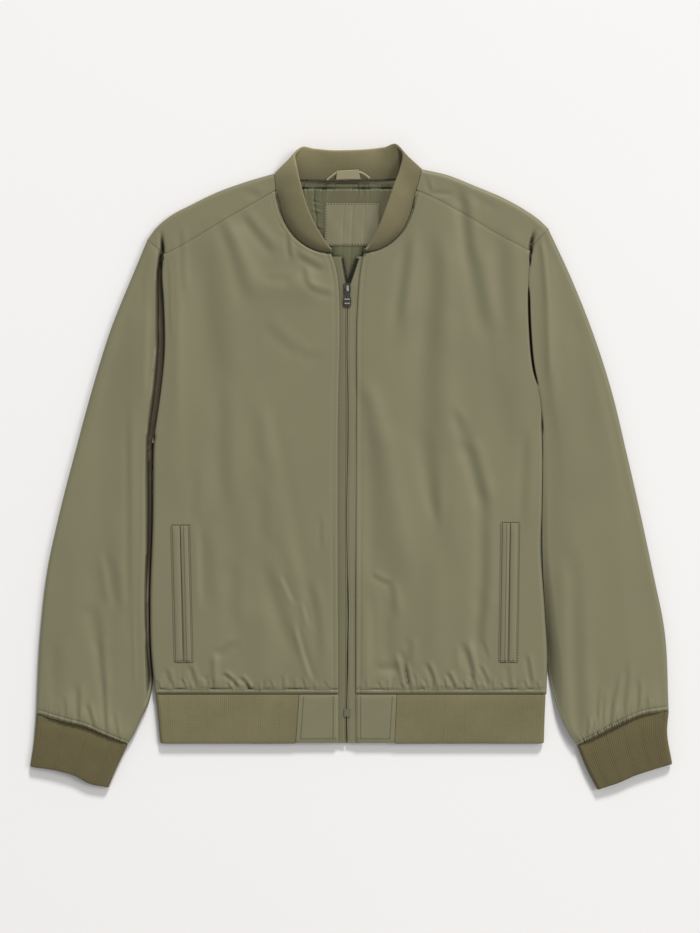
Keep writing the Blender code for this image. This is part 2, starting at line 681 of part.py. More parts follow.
def hem_tab(name, side, look):
    """The shell piece that ends the hem band beside the zip."""
    sign = side["sign"]
    zip_edge = side["front_edge"][0].x
    rows = []
    for up in np.linspace(0, 1, 4):
        finish = line(side["band_end"])(np.array(up))[0] - sign * 0.5
        y = HEM_Y - GAP + (BAND_Y - HEM_Y + GAP) * up
        xs = np.linspace(zip_edge, finish, 4)
        rows.append((np.linspace(0, 1, 4), [(x, y, 2 * BAND_FOLD) for x in xs]))
    wall(name, rows, RIB - 0.4, look, flip=sign > 0)


def collar(necks, halves, look):
    """The ribbed stand collar, from one front edge round the back of the neck to the other."""
    columns = []
    for name, side in SIDES.items():
        sign = side["sign"]
        rows, wing, _ = halves[name]
        base = [np.array(p) for p in necks[name]]
        base += [np.array(wing[k][0]) for k in (4, 3, 2, 1, 0)]
        base += [np.array(p) for p in reversed(rows[-1][1][:5])]
        for p in base[:15]:
            p[0] -= sign * 0.5
            p[1] += 0.25
        for p in base[13:]:
            p[1] += 1.3
            p[2] = max(p[2], 0.4)
        run = line(base, smooth=False)
        rim = side["collar_rim"]
        v = np.array([r.v for r in rim])
        place = np.array([(r.x, r.y, r.z) for r in rim])
        slope = np.gradient(place, v, axis=0)
        half = []
        for k, t in enumerate(run.at):
            i = min(int(np.searchsorted(v, t, side="right")) - 1, len(v) - 2)
            h = v[i + 1] - v[i]
            s = (t - v[i]) / h
            upper = (
                (1 + 2 * s) * (1 - s) ** 2 * place[i] + s * (1 - s) ** 2 * h * slope[i]
                + s * s * (3 - 2 * s) * place[i + 1] + s * s * (s - 1) * h * slope[i + 1]
            )
            half.append((base[k], upper))
        columns += half if name == "right" else half[::-1][1:]
    rows = []
    for t in np.linspace(0, 1, 5):
        points = [low + (high - low) * t for low, high in columns]
        rows.append((np.linspace(0, 1, len(points)), points))
    wall("collar", rows, RIB, look, flip=True, soften=4)


# ---- zip, pockets and the pieces inside the neck ----

TAPE_TOP = 6.6  # height of the zip tapes' upper face
TAPE = 0.8
TAPE_Y = (-316.0, 247.0)  # lower and upper ends of the tapes
TAPE_UNDER = 5.0  # how far a tape goes in under its front
OPEN_Y = 214.0  # where the tapes start to part, above the slider
SLIDER_Y = 209.0  # the bar that the pull tab turns on
BAR_HEIGHT = 9.9
BRIDGE_IN = 1.4
BRIDGE_OUT = 2.5
TAB_TILT = math.radians(-6)


def zip_tape(name, side, look):
    """A woven tape under a front's folded edge, opening into a V above the slider."""
    sign = side["sign"]
    edge = line(side["front_edge"])
    rows = []
    for y in np.linspace(TAPE_Y[0], TAPE_Y[1], 20):
        x = edge(np.array((y - HEM_Y) / (edge(1.0)[1] - HEM_Y)))[0]
        apart = side["tape_opening"] * max(0.0, y - OPEN_Y)
        xs = np.linspace(SLIT_X + sign * (0.2 + apart), x + sign * TAPE_UNDER, 3)
        rows.append((np.linspace(0, 1, 3), [(px, y, TAPE_TOP) for px in xs]))
    wall(name, rows, TAPE, look, flip=sign < 0)


def zip_slider(look):
    """Two plates joined by a post, with a bridge over the upper one for the pull tab's bar."""
    bm = bmesh.new()
    y, plate = SLIDER_Y, TAPE_TOP + 0.3
    block(bm, (SLIT_X - 4.0, y - 4.2, plate), (SLIT_X + 4.0, y + 6.6, plate + 1.5))
    made = add_object("zip_slider", bm, look)
    extras = []
    bm = bmesh.new()
    block(bm, (SLIT_X - 0.7, y + 6.0, TAPE_TOP - 2.0), (SLIT_X + 0.9, y + 7.0, plate + 1.5))
    extras.append(bm)
    bm = bmesh.new()
    low = TAPE_TOP - TAPE - 0.3
    block(bm, (SLIT_X - 4.0, y - 4.2, low - 1.2), (SLIT_X + 4.0, y + 7.0, low))
    extras.append(bm)
    bm = bmesh.new()
    angles = np.linspace(0, math.pi, 9)
    outline = [(y - BRIDGE_OUT, plate + 1.0)]
    outline += [(y - BRIDGE_OUT * math.cos(a), BAR_HEIGHT + BRIDGE_OUT * math.sin(a))
                for a in angles]
    outline += [(y + BRIDGE_OUT, plate + 1.0), (y + BRIDGE_IN, plate + 1.0)]
    outline += [(y + BRIDGE_IN * math.cos(a), BAR_HEIGHT + BRIDGE_IN * math.sin(a))
                for a in angles]
    outline += [(y - BRIDGE_IN, plate + 1.0)]
    prism(bm, outline, SLIT_X - 1.1, SLIT_X + 1.1)
    extras.append(bm)
    for k, extra in enumerate(extras):
        cutter = add_object(f"slider_part_{k}", extra, look)
        cutter.hide_render = True
        cutter.display_type = "WIRE"
        join = made.modifiers.new(f"join_{k}", "BOOLEAN")
        join.operation = "UNION"
        join.object = cutter


def zip_pull(look):
    """The pull tab: a bar under the bridge, two arms past it and a flat tapered tab."""
    hinge = bpy.data.objects.new("pull_tab_hinge", None)
    bpy.context.collection.objects.link(hinge)
    hinge.location = Vector((SLIT_X, SLIDER_Y, BAR_HEIGHT)) * MM
    hinge.rotation_euler = (-TAB_TILT, 0, 0)
    bm = bmesh.new()
    thick = 0.5
    # Outline of the tab and of its eye, seen from above, with the bar at the origin.
    outer = ((-2.8, 0.5), (2.8, 0.5), (3.0, -5.0), (4.6, -13.0), (4.6, -19.0), (2.6, -21.0),
             (-2.6, -21.0), (-4.6, -19.0), (-4.6, -13.0), (-3.0, -5.0))
    eye = ((-1.6, -0.5), (1.6, -0.5), (1.6, -3.0), (-1.6, -3.0))
    rows = []
    for z in (-thick, thick):
        rows.append(([bm.verts.new(Vector((x, y, z)) * MM) for x, y in outer],
                     [bm.verts.new(Vector((x, y, z)) * MM) for x, y in eye]))
    for low, high in zip(rows[0], rows[1]):
        for i in range(len(low)):
            j = (i + 1) % len(low)
            bm.faces.new([low[i], low[j], high[j], high[i]])
    for rim, hole in rows:
        edges = [bm.edges.get((loop[i], loop[(i + 1) % len(loop)]))
                 for loop in (rim, hole) for i in range(len(loop))]
        bmesh.ops.triangle_fill(bm, use_beauty=True, edges=edges)
    bmesh.ops.recalc_face_normals(bm, faces=bm.faces)
    made = add_object("zip_pull", bm, look)
    made.parent = hinge


def zip_box(look):
    """The box at the zip's lower end."""
    bm = bmesh.new()
    block(bm, (SLIT_X - 3.6, -290, TAPE_TOP + GAP), (SLIT_X + 3.6, -281, TAPE_TOP + 1.7))
    add_object("zip_box", bm, look)


def pocket(name, side, look):
    """Two welts and two end pieces round the pocket's slit, on the front."""
    sign = side["sign"]
    upper, lower = side["pocket"]
    front = [f"front_{name}"]
    wide, slit = 9.0, 1.0
    for welt, start, finish in (("outer", slit, slit + wide), ("inner", -slit - wide, -slit)):
        lines = []
        for off in sorted((start * sign, finish * sign)):
            lines.append(line((Place(lower.x + off, lower.y), Place(upper.x + off, upper.y))))
        strip_on(f"pocket_{name}_welt_{welt}", front, lines[0], lines[1], 14, 1.0, look)


def neck_pieces(cloth, label):
    """What shows inside the neck: lining, bare patch, hanging loop and its bare tab."""
    rows = []
    for y, half in ((196, 60), (230, 66), (262, 70), (290, 72), (315, 70), (331.5, 62)):
        xs = np.linspace(CENTRE_X - half, CENTRE_X + half, 7)
        rows.append((np.linspace(0, 1, 7), [(x, y, CLOTH + GAP + 1.0) for x in xs]))
    wall("back_lining", rows, 1.0, cloth["lining"])
    strip_on("neck_patch", ["back_lining"], line((Place(-31, 260), Place(-31, 310))),
             line((Place(33, 260), Place(33, 310))), 3, 0.8, cloth["patch"])
    path = (Place(-28, 338), Place(-24, 344), Place(-16, 347.5), Place(-4, 348.5),
            Place(8, 348), Place(16, 344.5), Place(21, 338.5))
    middle = line(path)
    here = np.linspace(0, 1, 17)
    side_a = line([inset(middle, np.array(t), 1.4, 1) for t in here], smooth=False)
    side_b = line([inset(middle, np.array(t), 1.4, -1) for t in here], smooth=False)
    strip_on("hanger_loop", ["collar"], side_a, side_b, 16, 1.0, label, lift=0.5, columns=1)
    strip_on("hanger_tab", ["collar"], line((Place(-17, 341), Place(-17, 353))),
             line((Place(10, 341), Place(10, 353))), 4, 0.8, label, lift=2.2, columns=3)


def main():
    for old in list(bpy.data.objects):
        bpy.data.objects.remove(old)
    shell = material("olive_shell", (0.235, 0.215, 0.135), 0.55)
    rib = material("olive_rib", (0.19, 0.175, 0.09), 0.9)
    tape = material("olive_tape", (0.16, 0.15, 0.09), 0.8)
    metal = material("gunmetal", (0.06, 0.055, 0.05), 0.35, 1.0)
    cloth = {
        "lining": material("olive_lining", (0.16, 0.16, 0.10), 0.6),
        "patch": material("plain_patch", (0.235, 0.215, 0.135), 0.6),
    }
    label = material("khaki_loop", (0.38, 0.33, 0.2), 0.7)

    halves, necks, armholes = {}, {}, {}
    for name, side in SIDES.items():
        rows, armholes[name], necks[name], forward_points = front_rows(side)
        wall(f"front_{name}", rows, CLOTH, shell, flip=side["sign"] < 0)
        halves[name] = back_half(side, forward_points)
    back_panel(halves, shell)
    for name, side in SIDES.items():
        _, wing, back_armhole = halves[name]
        sleeve(f"sleeve_{name}", side, armholes[name], back_armhole, wing, shell)
        cuff(f"cuff_{name}", side, rib)
        hem_tab(f"hem_tab_{name}", side, shell)
        zip_tape(f"zip_tape_{name}", side, tape)
        pocket(name, side, shell)
    hem_band(rib)
    collar(necks, halves, rib)
    neck_pieces(cloth, label)
    zip_slider(metal)
    zip_pull(metal)
    zip_box(metal)


main()
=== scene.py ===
"""Looks of a bomber jacket laid flat, front up, on a plain pale floor.

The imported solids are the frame. Each cloth piece is worked out again here from the same seam
lines, at a finer grain, with its small creases, gathers, ribs and sewing. Lengths are in
millimetres and become metres where a mesh is made. Left and right are the wearer's: left is +X.
"""

import math
from collections import namedtuple

import bpy
import numpy as np
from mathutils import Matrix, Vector
from mathutils.bvhtree import BVHTree


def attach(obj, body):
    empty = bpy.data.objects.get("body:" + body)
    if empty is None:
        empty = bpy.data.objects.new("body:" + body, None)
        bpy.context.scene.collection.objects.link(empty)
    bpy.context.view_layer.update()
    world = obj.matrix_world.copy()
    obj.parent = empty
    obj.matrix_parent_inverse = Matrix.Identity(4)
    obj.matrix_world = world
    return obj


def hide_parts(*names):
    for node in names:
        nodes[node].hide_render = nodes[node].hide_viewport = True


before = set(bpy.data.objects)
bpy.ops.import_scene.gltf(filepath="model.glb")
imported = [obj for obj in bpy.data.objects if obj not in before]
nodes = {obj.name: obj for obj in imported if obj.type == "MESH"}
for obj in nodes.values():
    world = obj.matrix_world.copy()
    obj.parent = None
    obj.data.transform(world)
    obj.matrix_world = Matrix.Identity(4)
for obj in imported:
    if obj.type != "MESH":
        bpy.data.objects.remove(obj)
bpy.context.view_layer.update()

MM = 0.001
PIXEL, PHOTO_X, PHOTO_Y = 1.17, 351.2, 468  # the photograph's scale and the origin's place in it
GAP = 0.3
CLOTH = 0.9  # thickness of the fine shells
RIB = 3.0
FOLD = 5.0
BAND_FOLD = 4.8
SEAM_HEIGHT = 7.0
BODY_TOP = 10.0
SLEEVE_CROWN = 1.2
HEM_Y = -264.0
BAND_Y = -321.5
CENTRE_X = -2.0
EDGE_STITCH = 5.8  # from the zip's edge and the hem seam to the row of stitches beside it
NECK_STITCH = 5.2
CUFF_STITCH = 5.6
TAB_STITCH = 6.0
WELT, WELT_FRAME = 9.0, 11.2  # from a pocket's slit to the welt's edge and to the stitches round it
BAND_LONG = 57
EDGE_TURN = 1.8  # radius of the shell's edges
FRONT_WIDTH = 225
# What is used of the rises written in the tables of folds and creases.
FRONT_FOLD, FRONT_CREASE, SLEEVE_FOLD, BACK_FOLD, SLEEVE_BACK_FOLD, CREASE = (
    0.5, 1.25, 0.4, 1.5, 1.4, 1.15)
SLIT_X = -4.7
RIB_PITCH = 2.2
RIB_DEPTH = 0.28

Place = namedtuple("Place", "x y")
Fold = namedtuple("Fold", "x0 y0 x1 y1 rise width")
Crease = namedtuple("Crease", "x0 y0 x1 y1 bow rise step width widen", defaults=(1.0,))


def outlines(**lines):
    """Seam lines and folded edges seen from above, each a short list of places."""
    return {name: tuple(Place(*place) for place in points) for name, points in lines.items()}


# The two sides. collar_rim: the share of the way round, x, y and z. pleats: from and to a place,
# their pitch and height. roll: how far the sleeve sinks away from the body. inner_fold and
# inner_rise: how far its inner edge turns under, and how steeply. step_in: how soon it reaches its
# own height. tape_opening: how fast the tapes part above the slider. tape_tilt: how they slope.
# coil: the teeth's distance from the tape's edge, and their width.
RIGHT = outlines(
    side=((-229, HEM_Y), (-234, -210), (-235, -161), (-232, -63), (-231.5, -14), (-230.5, 30)),
    armhole=((-230.5, 30), (-226.3, 58), (-221.5, 92), (-217.5, 135), (-218.5, 195), (-220.5, 228),
             (-219, 250)),
    armhole_back=((-228, 46), (-226, 90), (-224, 150), (-226, 220)),
    front_edge=((-15, HEM_Y), (-15, 80), (-13.5, 180), (-15, 217), (-18, 234), (-23.5, 250.5)),
    neck=((-23.5, 250.5), (-41, 253.5), (-59, 263), (-74, 279), (-84.5, 303), (-89, 324)),
    forward_seam=((-89, 324), (-110, 312), (-154, 287), (-203, 258), (-219, 250)),
    shoulder=((-90, 344), (-124, 334), (-157, 322), (-186, 308), (-212, 294), (-227, 281.5),
              (-238, 267)),
    neck_back=((-75, 339), (-55, 337)),
    sleeve_outer=((-238, 267), (-253, 231), (-281, 162), (-303, 91), (-322, 21), (-340, -49),
                  (-355, -119), (-363, -189), (-368, -288)),
    sleeve_inner=((-232.4, 5), (-232.6, -24), (-232.6, -63), (-235.5, -161), (-234.6, -210),
                  (-232.3, -252), (-236.5, -274), (-246, -295), (-254, -312), (-261, -323)),
    cuff_seam=((-261, -323), (-288, -312.5), (-312, -302.5), (-335, -297), (-368, -288)),
    cuff_outer=((-368, -288), (-370, -314), (-375, -348.5)),
    cuff_inner=((-261, -323), (-273.5, -349), (-284, -373.5)),
    cuff_edge=((-284, -373.5), (-302, -370), (-322, -360), (-346, -353), (-375, -348.5)),
    band_side=((-228.5, HEM_Y), (-226, -289), (-223, BAND_Y)),
    band_end=((-61, HEM_Y), (-65, BAND_Y)),
    pocket=((-199.5, -67), (-195.5, -226)),
) | {
    "collar_rim": ((0.0, -24.5, 254, 14), (0.1, -34, 270, 18), (0.22, -43.5, 286, 21.5),
                   (0.34, -52, 306, 23.5), (0.45, -59, 330, 23.5), (0.53, -64, 352, 21),
                   (0.59, -66, 366, 16.5), (0.65, -59, 374, 13), (0.75, -43, 372.5, 13),
                   (0.88, -22, 370.5, 14.5), (1.0, CENTRE_X, 370.5, 15)),
    "sign": -1, "pleats": (-262, -322, -366, -290, 3.4, 0.35), "roll": -0.6, "inner_fold": 3.5,
    "inner_rise": 1.0, "step_in": 7.0, "tape_opening": 0.17, "tape_tilt": -0.10, "coil": (0.5, 1.1),
}
LEFT = outlines(
    side=((228, HEM_Y), (229, -221), (226, -165), (221.5, -93), (223, -40), (223, 42)),
    armhole=((223, 42), (219.5, 85), (211.5, 118), (207.5, 162), (206.5, 205), (207.5, 235),
             (208.5, 254)),
    armhole_back=((220.5, 56), (218, 95), (215, 155), (217, 225)),
    front_edge=((5, HEM_Y), (6, 80), (7, 186), (9, 217), (11, 234), (14.5, 251.5)),
    neck=((14.5, 251.5), (29, 253.5), (43, 260), (60, 276), (71, 299), (77, 324)),
    forward_seam=((77, 324), (100, 314), (127, 300), (162, 279), (208.5, 254)),
    shoulder=((83, 349), (110, 343), (146, 329), (179, 315), (204, 301), (219, 290.5), (230, 280)),
    neck_back=((70, 342), (52, 339)),
    sleeve_outer=((230, 280), (253, 231), (281, 162), (304, 91), (321, 21), (337, -49), (352, -119),
                  (366, -189), (371, -284)),
    sleeve_inner=((223.6, 12), (223.4, -24), (222.8, -63), (224.2, -130), (227.8, -188),
                  (229.7, -232), (236, -262), (243, -285), (254, -309), (264, -324)),
    cuff_seam=((264, -324), (291, -311), (320, -297), (345, -287.5), (371, -284)),
    cuff_outer=((371, -284), (369, -306), (375, -346)),
    cuff_inner=((264, -324), (276, -353), (288, -376)),
    cuff_edge=((288, -376), (311, -368.5), (331, -360), (352, -353), (375, -346)),
    band_side=((227, HEM_Y), (226, -289), (225, BAND_Y)),
    band_end=((53.5, HEM_Y), (51, BAND_Y)),
    pocket=((185.5, -64), (183, -226)),
) | {
    "collar_rim": ((0.0, 19, 253.5, 14), (0.1, 26, 268, 18), (0.22, 34, 285, 21.5),
                   (0.34, 42, 306, 24), (0.45, 50, 328, 24.5), (0.53, 57, 347, 22.5),
                   (0.59, 60.5, 365, 18), (0.65, 54, 377, 14), (0.75, 38, 374, 13),
                   (0.88, 17, 371.5, 14.5), (1.0, CENTRE_X, 370.5, 15)),
    "sign": 1, "pleats": (266, -322, 330, -290, 2.6, 0.8), "roll": 0.9, "inner_fold": 1.4,
    "inner_rise": 0.15, "step_in": 4.0, "tape_opening": 0.33, "tape_tilt": 0.12, "coil": (1.9, 3.4),
}
SIDES = {"right": RIGHT, "left": LEFT}

# Soft folds, the largest as in the solids: the line each runs down in plan, its rise and width.
BODY_FOLDS = (
    (-204, 180, -206, -20, 1.8, 13), (-186, 250, -150, 100, -1.8, 15),
    (-138, 278, -112, 205, 1.8, 15), (-100, 240, -40, 205, 1.6, 18),
    (-160, 30, -128, -150, -1.3, 12), (-110, 80, -60, -150, 1.4, 14), (-75, -90, -28, -245, 1.6, 9),
    (-90, 60, -46, -170, -1.2, 9), (128, 325, 160, 150, -2.2, 12), (152, 270, 178, 90, 1.8, 12),
    (86, 260, 92, -70, -2.4, 15), (62, 250, 50, 130, -1.5, 12), (114, 90, 122, -100, 2.0, 13),
    (132, 60, 158, -60, -2.2, 8), (158, -40, 148, -220, -2.0, 9), (24, 90, 70, -130, 2.0, 13),
    (24, 30, 24, -130, -1.6, 9), (44, -120, 50, -250, -2.2, 9), (28, -140, 32, -240, 1.8, 8),
    (96, -100, 100, -235, 1.6, 12),
)
SLEEVE_FOLDS = (
    (-250, 190, -252, -60, 1.2, 12), (-282, 110, -300, -60, -1.5, 13),
    (-276, -60, -268, -210, 1.8, 10), (-300, -120, -290, -240, -1.8, 10),
    (-322, -90, -330, -240, 1.5, 14), (230, 240, 236, 60, 2.4, 8), (262, 180, 276, 20, -1.5, 14),
    (255, -60, 270, -210, 1.6, 12), (276, -110, 284, -250, -2.0, 10),
    (310, -60, 324, -230, 1.5, 14),
)
BACK_FOLDS = (
    (-196, 170, -178, -60, 1.3, 9), (-150, 230, -128, 40, 1.6, 11), (-96, 120, -70, -150, 1.2, 13),
    (-40, 260, -22, 60, 1.0, 8), (-52, -60, -30, -235, 1.3, 9), (10, 150, 30, -120, 1.4, 12),
    (62, 240, 84, 70, 1.5, 10), (104, 60, 96, -180, 1.2, 9), (150, 210, 168, -20, 1.5, 12),
    (190, 120, 196, -140, 1.1, 8), (-140, -110, -120, -240, 1.2, 7), (140, -130, 128, -245, 1.2, 8),
    (-205, -258, -200, -232, 0.9, 4), (-172, -259, -176, -226, 1.1, 4.5),
    (-138, -259, -133, -238, 0.8, 3.6), (-101, -259, -104, -228, 1.0, 4.6),
    (-70, -259, -66, -240, 0.8, 3.6), (-33, -259, -36, -230, 1.0, 4), (4, -259, 8, -236, 0.8, 4),
    (41, -259, 38, -226, 1.1, 4.6), (79, -259, 84, -238, 0.8, 3.6), (112, -259, 108, -230, 1.0, 4),
    (155, -259, 160, -234, 0.9, 4.4), (197, -259, 194, -228, 1.0, 4),
)
SLEEVE_BACK_FOLDS = (
    (-262, 150, -276, 0, 1.3, 10), (-296, 60, -312, -120, 1.1, 9), (-262, -70, -274, -220, 1.2, 8),
    (-318, -130, -326, -268, 1.3, 8), (-290, -180, -296, -285, 1.0, 6), (258, 160, 270, 20, 1.2, 9),
    (294, 60, 306, -90, 1.3, 10), (262, -60, 276, -230, 1.2, 8), (312, -110, 330, -262, 1.1, 9),
    (300, -200, 306, -284, 1.0, 5),
)
# Short ticks between the gathers over the hem: where each starts, and its rise.
TICKS = (
    (158, 0.5), (171, -0.5), (183, 0.6), (191, 0.5), (204, 0.45), (212, -0.5), (228, 0.6),
    (233, -0.4), (247, 0.6), (262, -0.5), (271, 0.5), (289, -0.45), (303, 0.5), (314, 0.35),
    (325, 0.4), (366, 0.4), (379, 0.5), (391, -0.5), (401, 0.6), (412, 0.5), (422, -0.6),
    (433, 0.5), (444, 0.6), (453, -0.5), (463, 0.5), (471, 0.5), (483, -0.6), (492, 0.5),
    (501, 0.4), (515, -0.5), (524, 0.5), (537, 0.5),
)
TICK_CREASES = tuple(
    (x, (679, 681, 677.5, 682, 680)[n % 5], x + (3, 1.5, 4, 0.5, 2.5, -1)[n % 6],
     (688, 690, 687.5, 689)[n % 4], 0, 0, rise, (1.5, 1.8, 1.3, 1.6)[n % 4], 0.8)
    for n, (x, rise) in enumerate(TICKS))
# Creases, placed on the photograph, in its pixels: the line each runs down, how far its
# middle bows to the right, the rise of a ridge on it, the step of a flank that climbs to the right
# across it, its spread, and how much wider it is at its end.
FRONT_CREASES = (
    # wearer's right front
    (214, 232, 219, 395, 0, 0, 1.2, 17), (222, 222, 249, 300, 2, 0, 0.9, 6, 1.6),
    (244, 214, 276, 253, -1, 0, 0.65, 5, 1.2), (288, 234, 291, 259, 0, 0, 0.5, 3),
    (298, 254, 324, 269, -1, 0, 0.5, 4), (265, 280, 291, 282, 0, -0.5, 0, 6),
    (305, 267, 311, 289, -2, 0, 0.4, 3.8), (309, 287, 333, 294, -1, 0, 0.4, 3.8),
    (258, 278, 330, 278, 0, 0, -0.6, 13), (268, 322, 300, 352, -2, 0, 0.32, 7),
    (300, 352, 324, 356, -1, 0, 0.2, 6), (169, 262, 171, 336, 0, 0, 0.3, 2.2),
    (182, 226, 184, 296, 0, 0, 0.4, 3.4, 1.2), (225, 385, 227, 505, 0, 0, 0.7, 9, 1.1),
    (259, 410, 262, 466, 0, 0, 0.4, 8), (265, 488, 266, 540, 0, 0, 0.45, 8),
    (199, 473, 196, 520, 0, 0, 0.3, 6), (199, 526, 201, 606, 0, 0, -0.4, 4),
    (209, 532, 213, 606, 0, 0, 0.4, 7), (236, 560, 237, 626, 0, 0, 0.55, 8),
    (268, 560, 300, 655, -2, 0, 0.7, 8), (296, 624, 313, 681, -1, 0, -0.6, 2.8, 1.1),
    (281, 575, 294, 604, 0, 0, -0.35, 2.8), (303, 602, 308, 624, 0, 0, -0.35, 2.6),
    (311, 582, 322, 660, 2, 0, 0.7, 6), (322, 516, 322, 548, 0, 0, 0.3, 3),
    (217, 653, 236, 640, 0, 0, 0.45, 5), (263, 600, 266, 690, 0, 1.2, 0, 17),
    # its gathers over the hem
    (190, 664, 198, 687, 1, 0, 0.6, 3, 0.8), (215, 653, 216, 686, 0, 1.35, 0, 4.5, 0.8),
    (224, 672, 240, 687, 1, 0, 0.83, 2.4, 0.8), (241, 676, 251, 688, 1, 0, 0.75, 2.2, 0.8),
    (203, 676, 207, 688, 0, 0, -0.6, 2.4, 0.8), (284, 676, 283, 689, 0, 0, 0.45, 2, 0.8),
    (294, 678, 295, 689, 0, 0, 0.38, 2, 0.8), (168, 668, 173, 687, 0, 0, 0.6, 3, 0.8),
    # wearer's left front
    (438, 240, 436, 346, 1, 0, 1.1, 9, 1.4), (433, 318, 428, 442, 0, 0, 1.25, 14, 1.1),
    (428, 428, 438, 522, 0, 0, 1, 12, 0.4), (463, 184, 471, 262, 0, 0, 1, 6, 1.1),
    (471, 250, 487, 330, 0, 0, 0.8, 7, 1.4), (505, 234, 508, 332, 0, 0, 1, 10, 1.1),
    (506, 318, 511, 456, 0, 0, 0.6, 14), (411, 236, 398, 328, 0, 0, 0.9, 6, 1.1),
    (363, 386, 375, 452, 1, 0, 0.8, 7, 1.6), (374, 438, 386, 566, 0, 0, 1.1, 15, 1.1),
    (456, 410, 470, 454, 1, 0, 0.65, 5.5, 1.3), (468, 443, 484, 502, 1, 0, 1, 7),
    (483, 488, 485, 606, 1, 0, 0.9, 7), (484, 590, 480, 648, 0, 0, 0.8, 6.5, 0.9),
    (527, 430, 523, 522, 1, 0, 0.5, 6), (372, 573, 391, 583, -1, 0, 0.4, 3),
    (391, 581, 395, 616, 1, 0, 0.42, 3.8, 1.3), (388, 588, 389, 662, 0, 0, 0.8, 8),
    (369, 598, 371, 684, 0, 0, -0.7, 6), (376, 668, 399, 669, 0, -1, 0, 6),
    (482, 639, 488, 658, 1, 0, 0.3, 2.2), (411, 638, 410, 666, 0, 0, 0.5, 4.4),
    (459, 643, 461, 668, 0, 0, -0.35, 3),
    # its gathers over the hem
    (398, 652, 407, 688, 1, 0, -0.9, 3.4, 0.8), (405, 662, 411, 691, 0, 0, 0.9, 2.4, 0.8),
    (415, 673, 417, 689, 0, 0, 0.45, 1.8, 0.8), (427, 662, 437, 690, 1, 0, 0.83, 2.6, 0.8),
    (448, 671, 456, 688, 0, 0, 0.75, 2.3, 0.8), (466, 644, 475, 678, 0, 0, 1.05, 3.8, 0.8),
    (471, 672, 477, 688, 0, 0, 0.75, 2.2, 0.8), (480, 664, 490, 684, 0, 0, 0.52, 2.2, 0.8),
    (508, 664, 510, 687, 0, 0, 0.38, 3, 0.8), (527, 654, 532, 684, 0, 0, 0.6, 2.8, 0.8),
    (179, 240, 178, 430, 0, 0.7, 0, 6, 1.2), (182.5, 664, 182, 686, 0, -0.3, 0, 1.6),
    (192.5, 664, 192, 686, 0, -0.3, 0, 1.6),
    *TICK_CREASES,
    # over the shoulders, and the slits' upper ends
    (161.5, 231, 163.5, 256, 0, -4.5, 0, 1.7), (534, 231, 529.5, 252, -0.5, -3.5, 0, 1.7),
    (549, 228, 535, 230, 0, -1.4, 0, 1.5), (540, 231, 541, 248, 0, 0.8, 0, 3),
    (425, 170, 431, 192, 0, 0, 0.4, 2.4), (431, 194, 452, 195, 0, -0.5, 0, 3.2),
    (466, 186, 500, 208, 0, 0, 0.6, 5), (240, 183, 262, 196, 0, 0, 0.4, 5),
)
SLEEVE_CREASES = (
    # wearer's right sleeve
    (136, 300, 124, 470, 0, 0, 1, 18, 1.2), (124, 440, 118, 640, 0, 0, 1.1, 20, 1.1),
    (130, 410, 131, 612, 0, 0, 0.5, 4), (151, 296, 147, 402, 0, 0, -0.5, 4),
    (152, 250, 146, 300, 0, 0.5, 0, 5), (104, 553, 112, 604, 0, 0, -0.5, 4),
    (117, 560, 121, 610, 0, 0, 0.5, 5), (96, 604, 103, 650, 0, 0, 0.9, 8, 0.7),
    (101, 640, 106, 690, 0, 0, 0.9, 4.5, 0.9), (105, 680, 108, 734, 0, 0, 0.8, 3.2, 0.8),
    (134, 606, 136, 688, 0, 0.4, 0, 2.6), (80, 684, 80, 722, 0, 0, 0.9, 4.2, 0.6),
    (89, 702, 96, 727, 0, 0, 0.7, 3, 0.7), (66, 696, 68, 718, 0, 0, 0.4, 3, 0.7),
    (58, 640, 60, 712, 0, 0, 0.6, 9, 0.9), (116, 712, 120, 738, 0, 0, 0.4, 2.6, 0.7),
    # wearer's left sleeve
    (540, 236, 546, 300, 1, 1.1, 0, 3.4), (546, 290, 549, 380, 0, 1, 0, 4.2),
    (600, 330, 632, 520, 2, 0, -0.6, 14, 1.2), (563, 560, 564, 650, 0, 1.2, 0, 10, 0.8),
    (563, 640, 571, 742, 0, 1, 0, 8, 0.8), (579, 556, 581, 660, 0, 0, 1.1, 10),
    (579, 650, 582, 742, 0, 0, 1.1, 9, 0.9), (600, 688, 597, 722, -1, 0, 0.6, 3, 0.7),
    (604, 690, 602, 722, 0, 0, 0.4, 2.6, 0.7), (620, 676, 610, 722, -2, 0, 0.8, 3.2, 0.7),
    (628, 664, 623, 716, 0, 0, 0.6, 4, 0.7), (639, 680, 637, 712, 0, 0, 0.6, 3, 0.7),
    (648, 698, 644, 712, 0, 0, 0.5, 2.4, 0.7), (588, 716, 586, 738, 0, 0, 0.5, 2.6, 0.7),
    (594, 716, 592, 736, 0, 0, 0.4, 2.2, 0.7), (615, 706, 610, 724, 0, 0, 0.4, 2.4, 0.7),
)
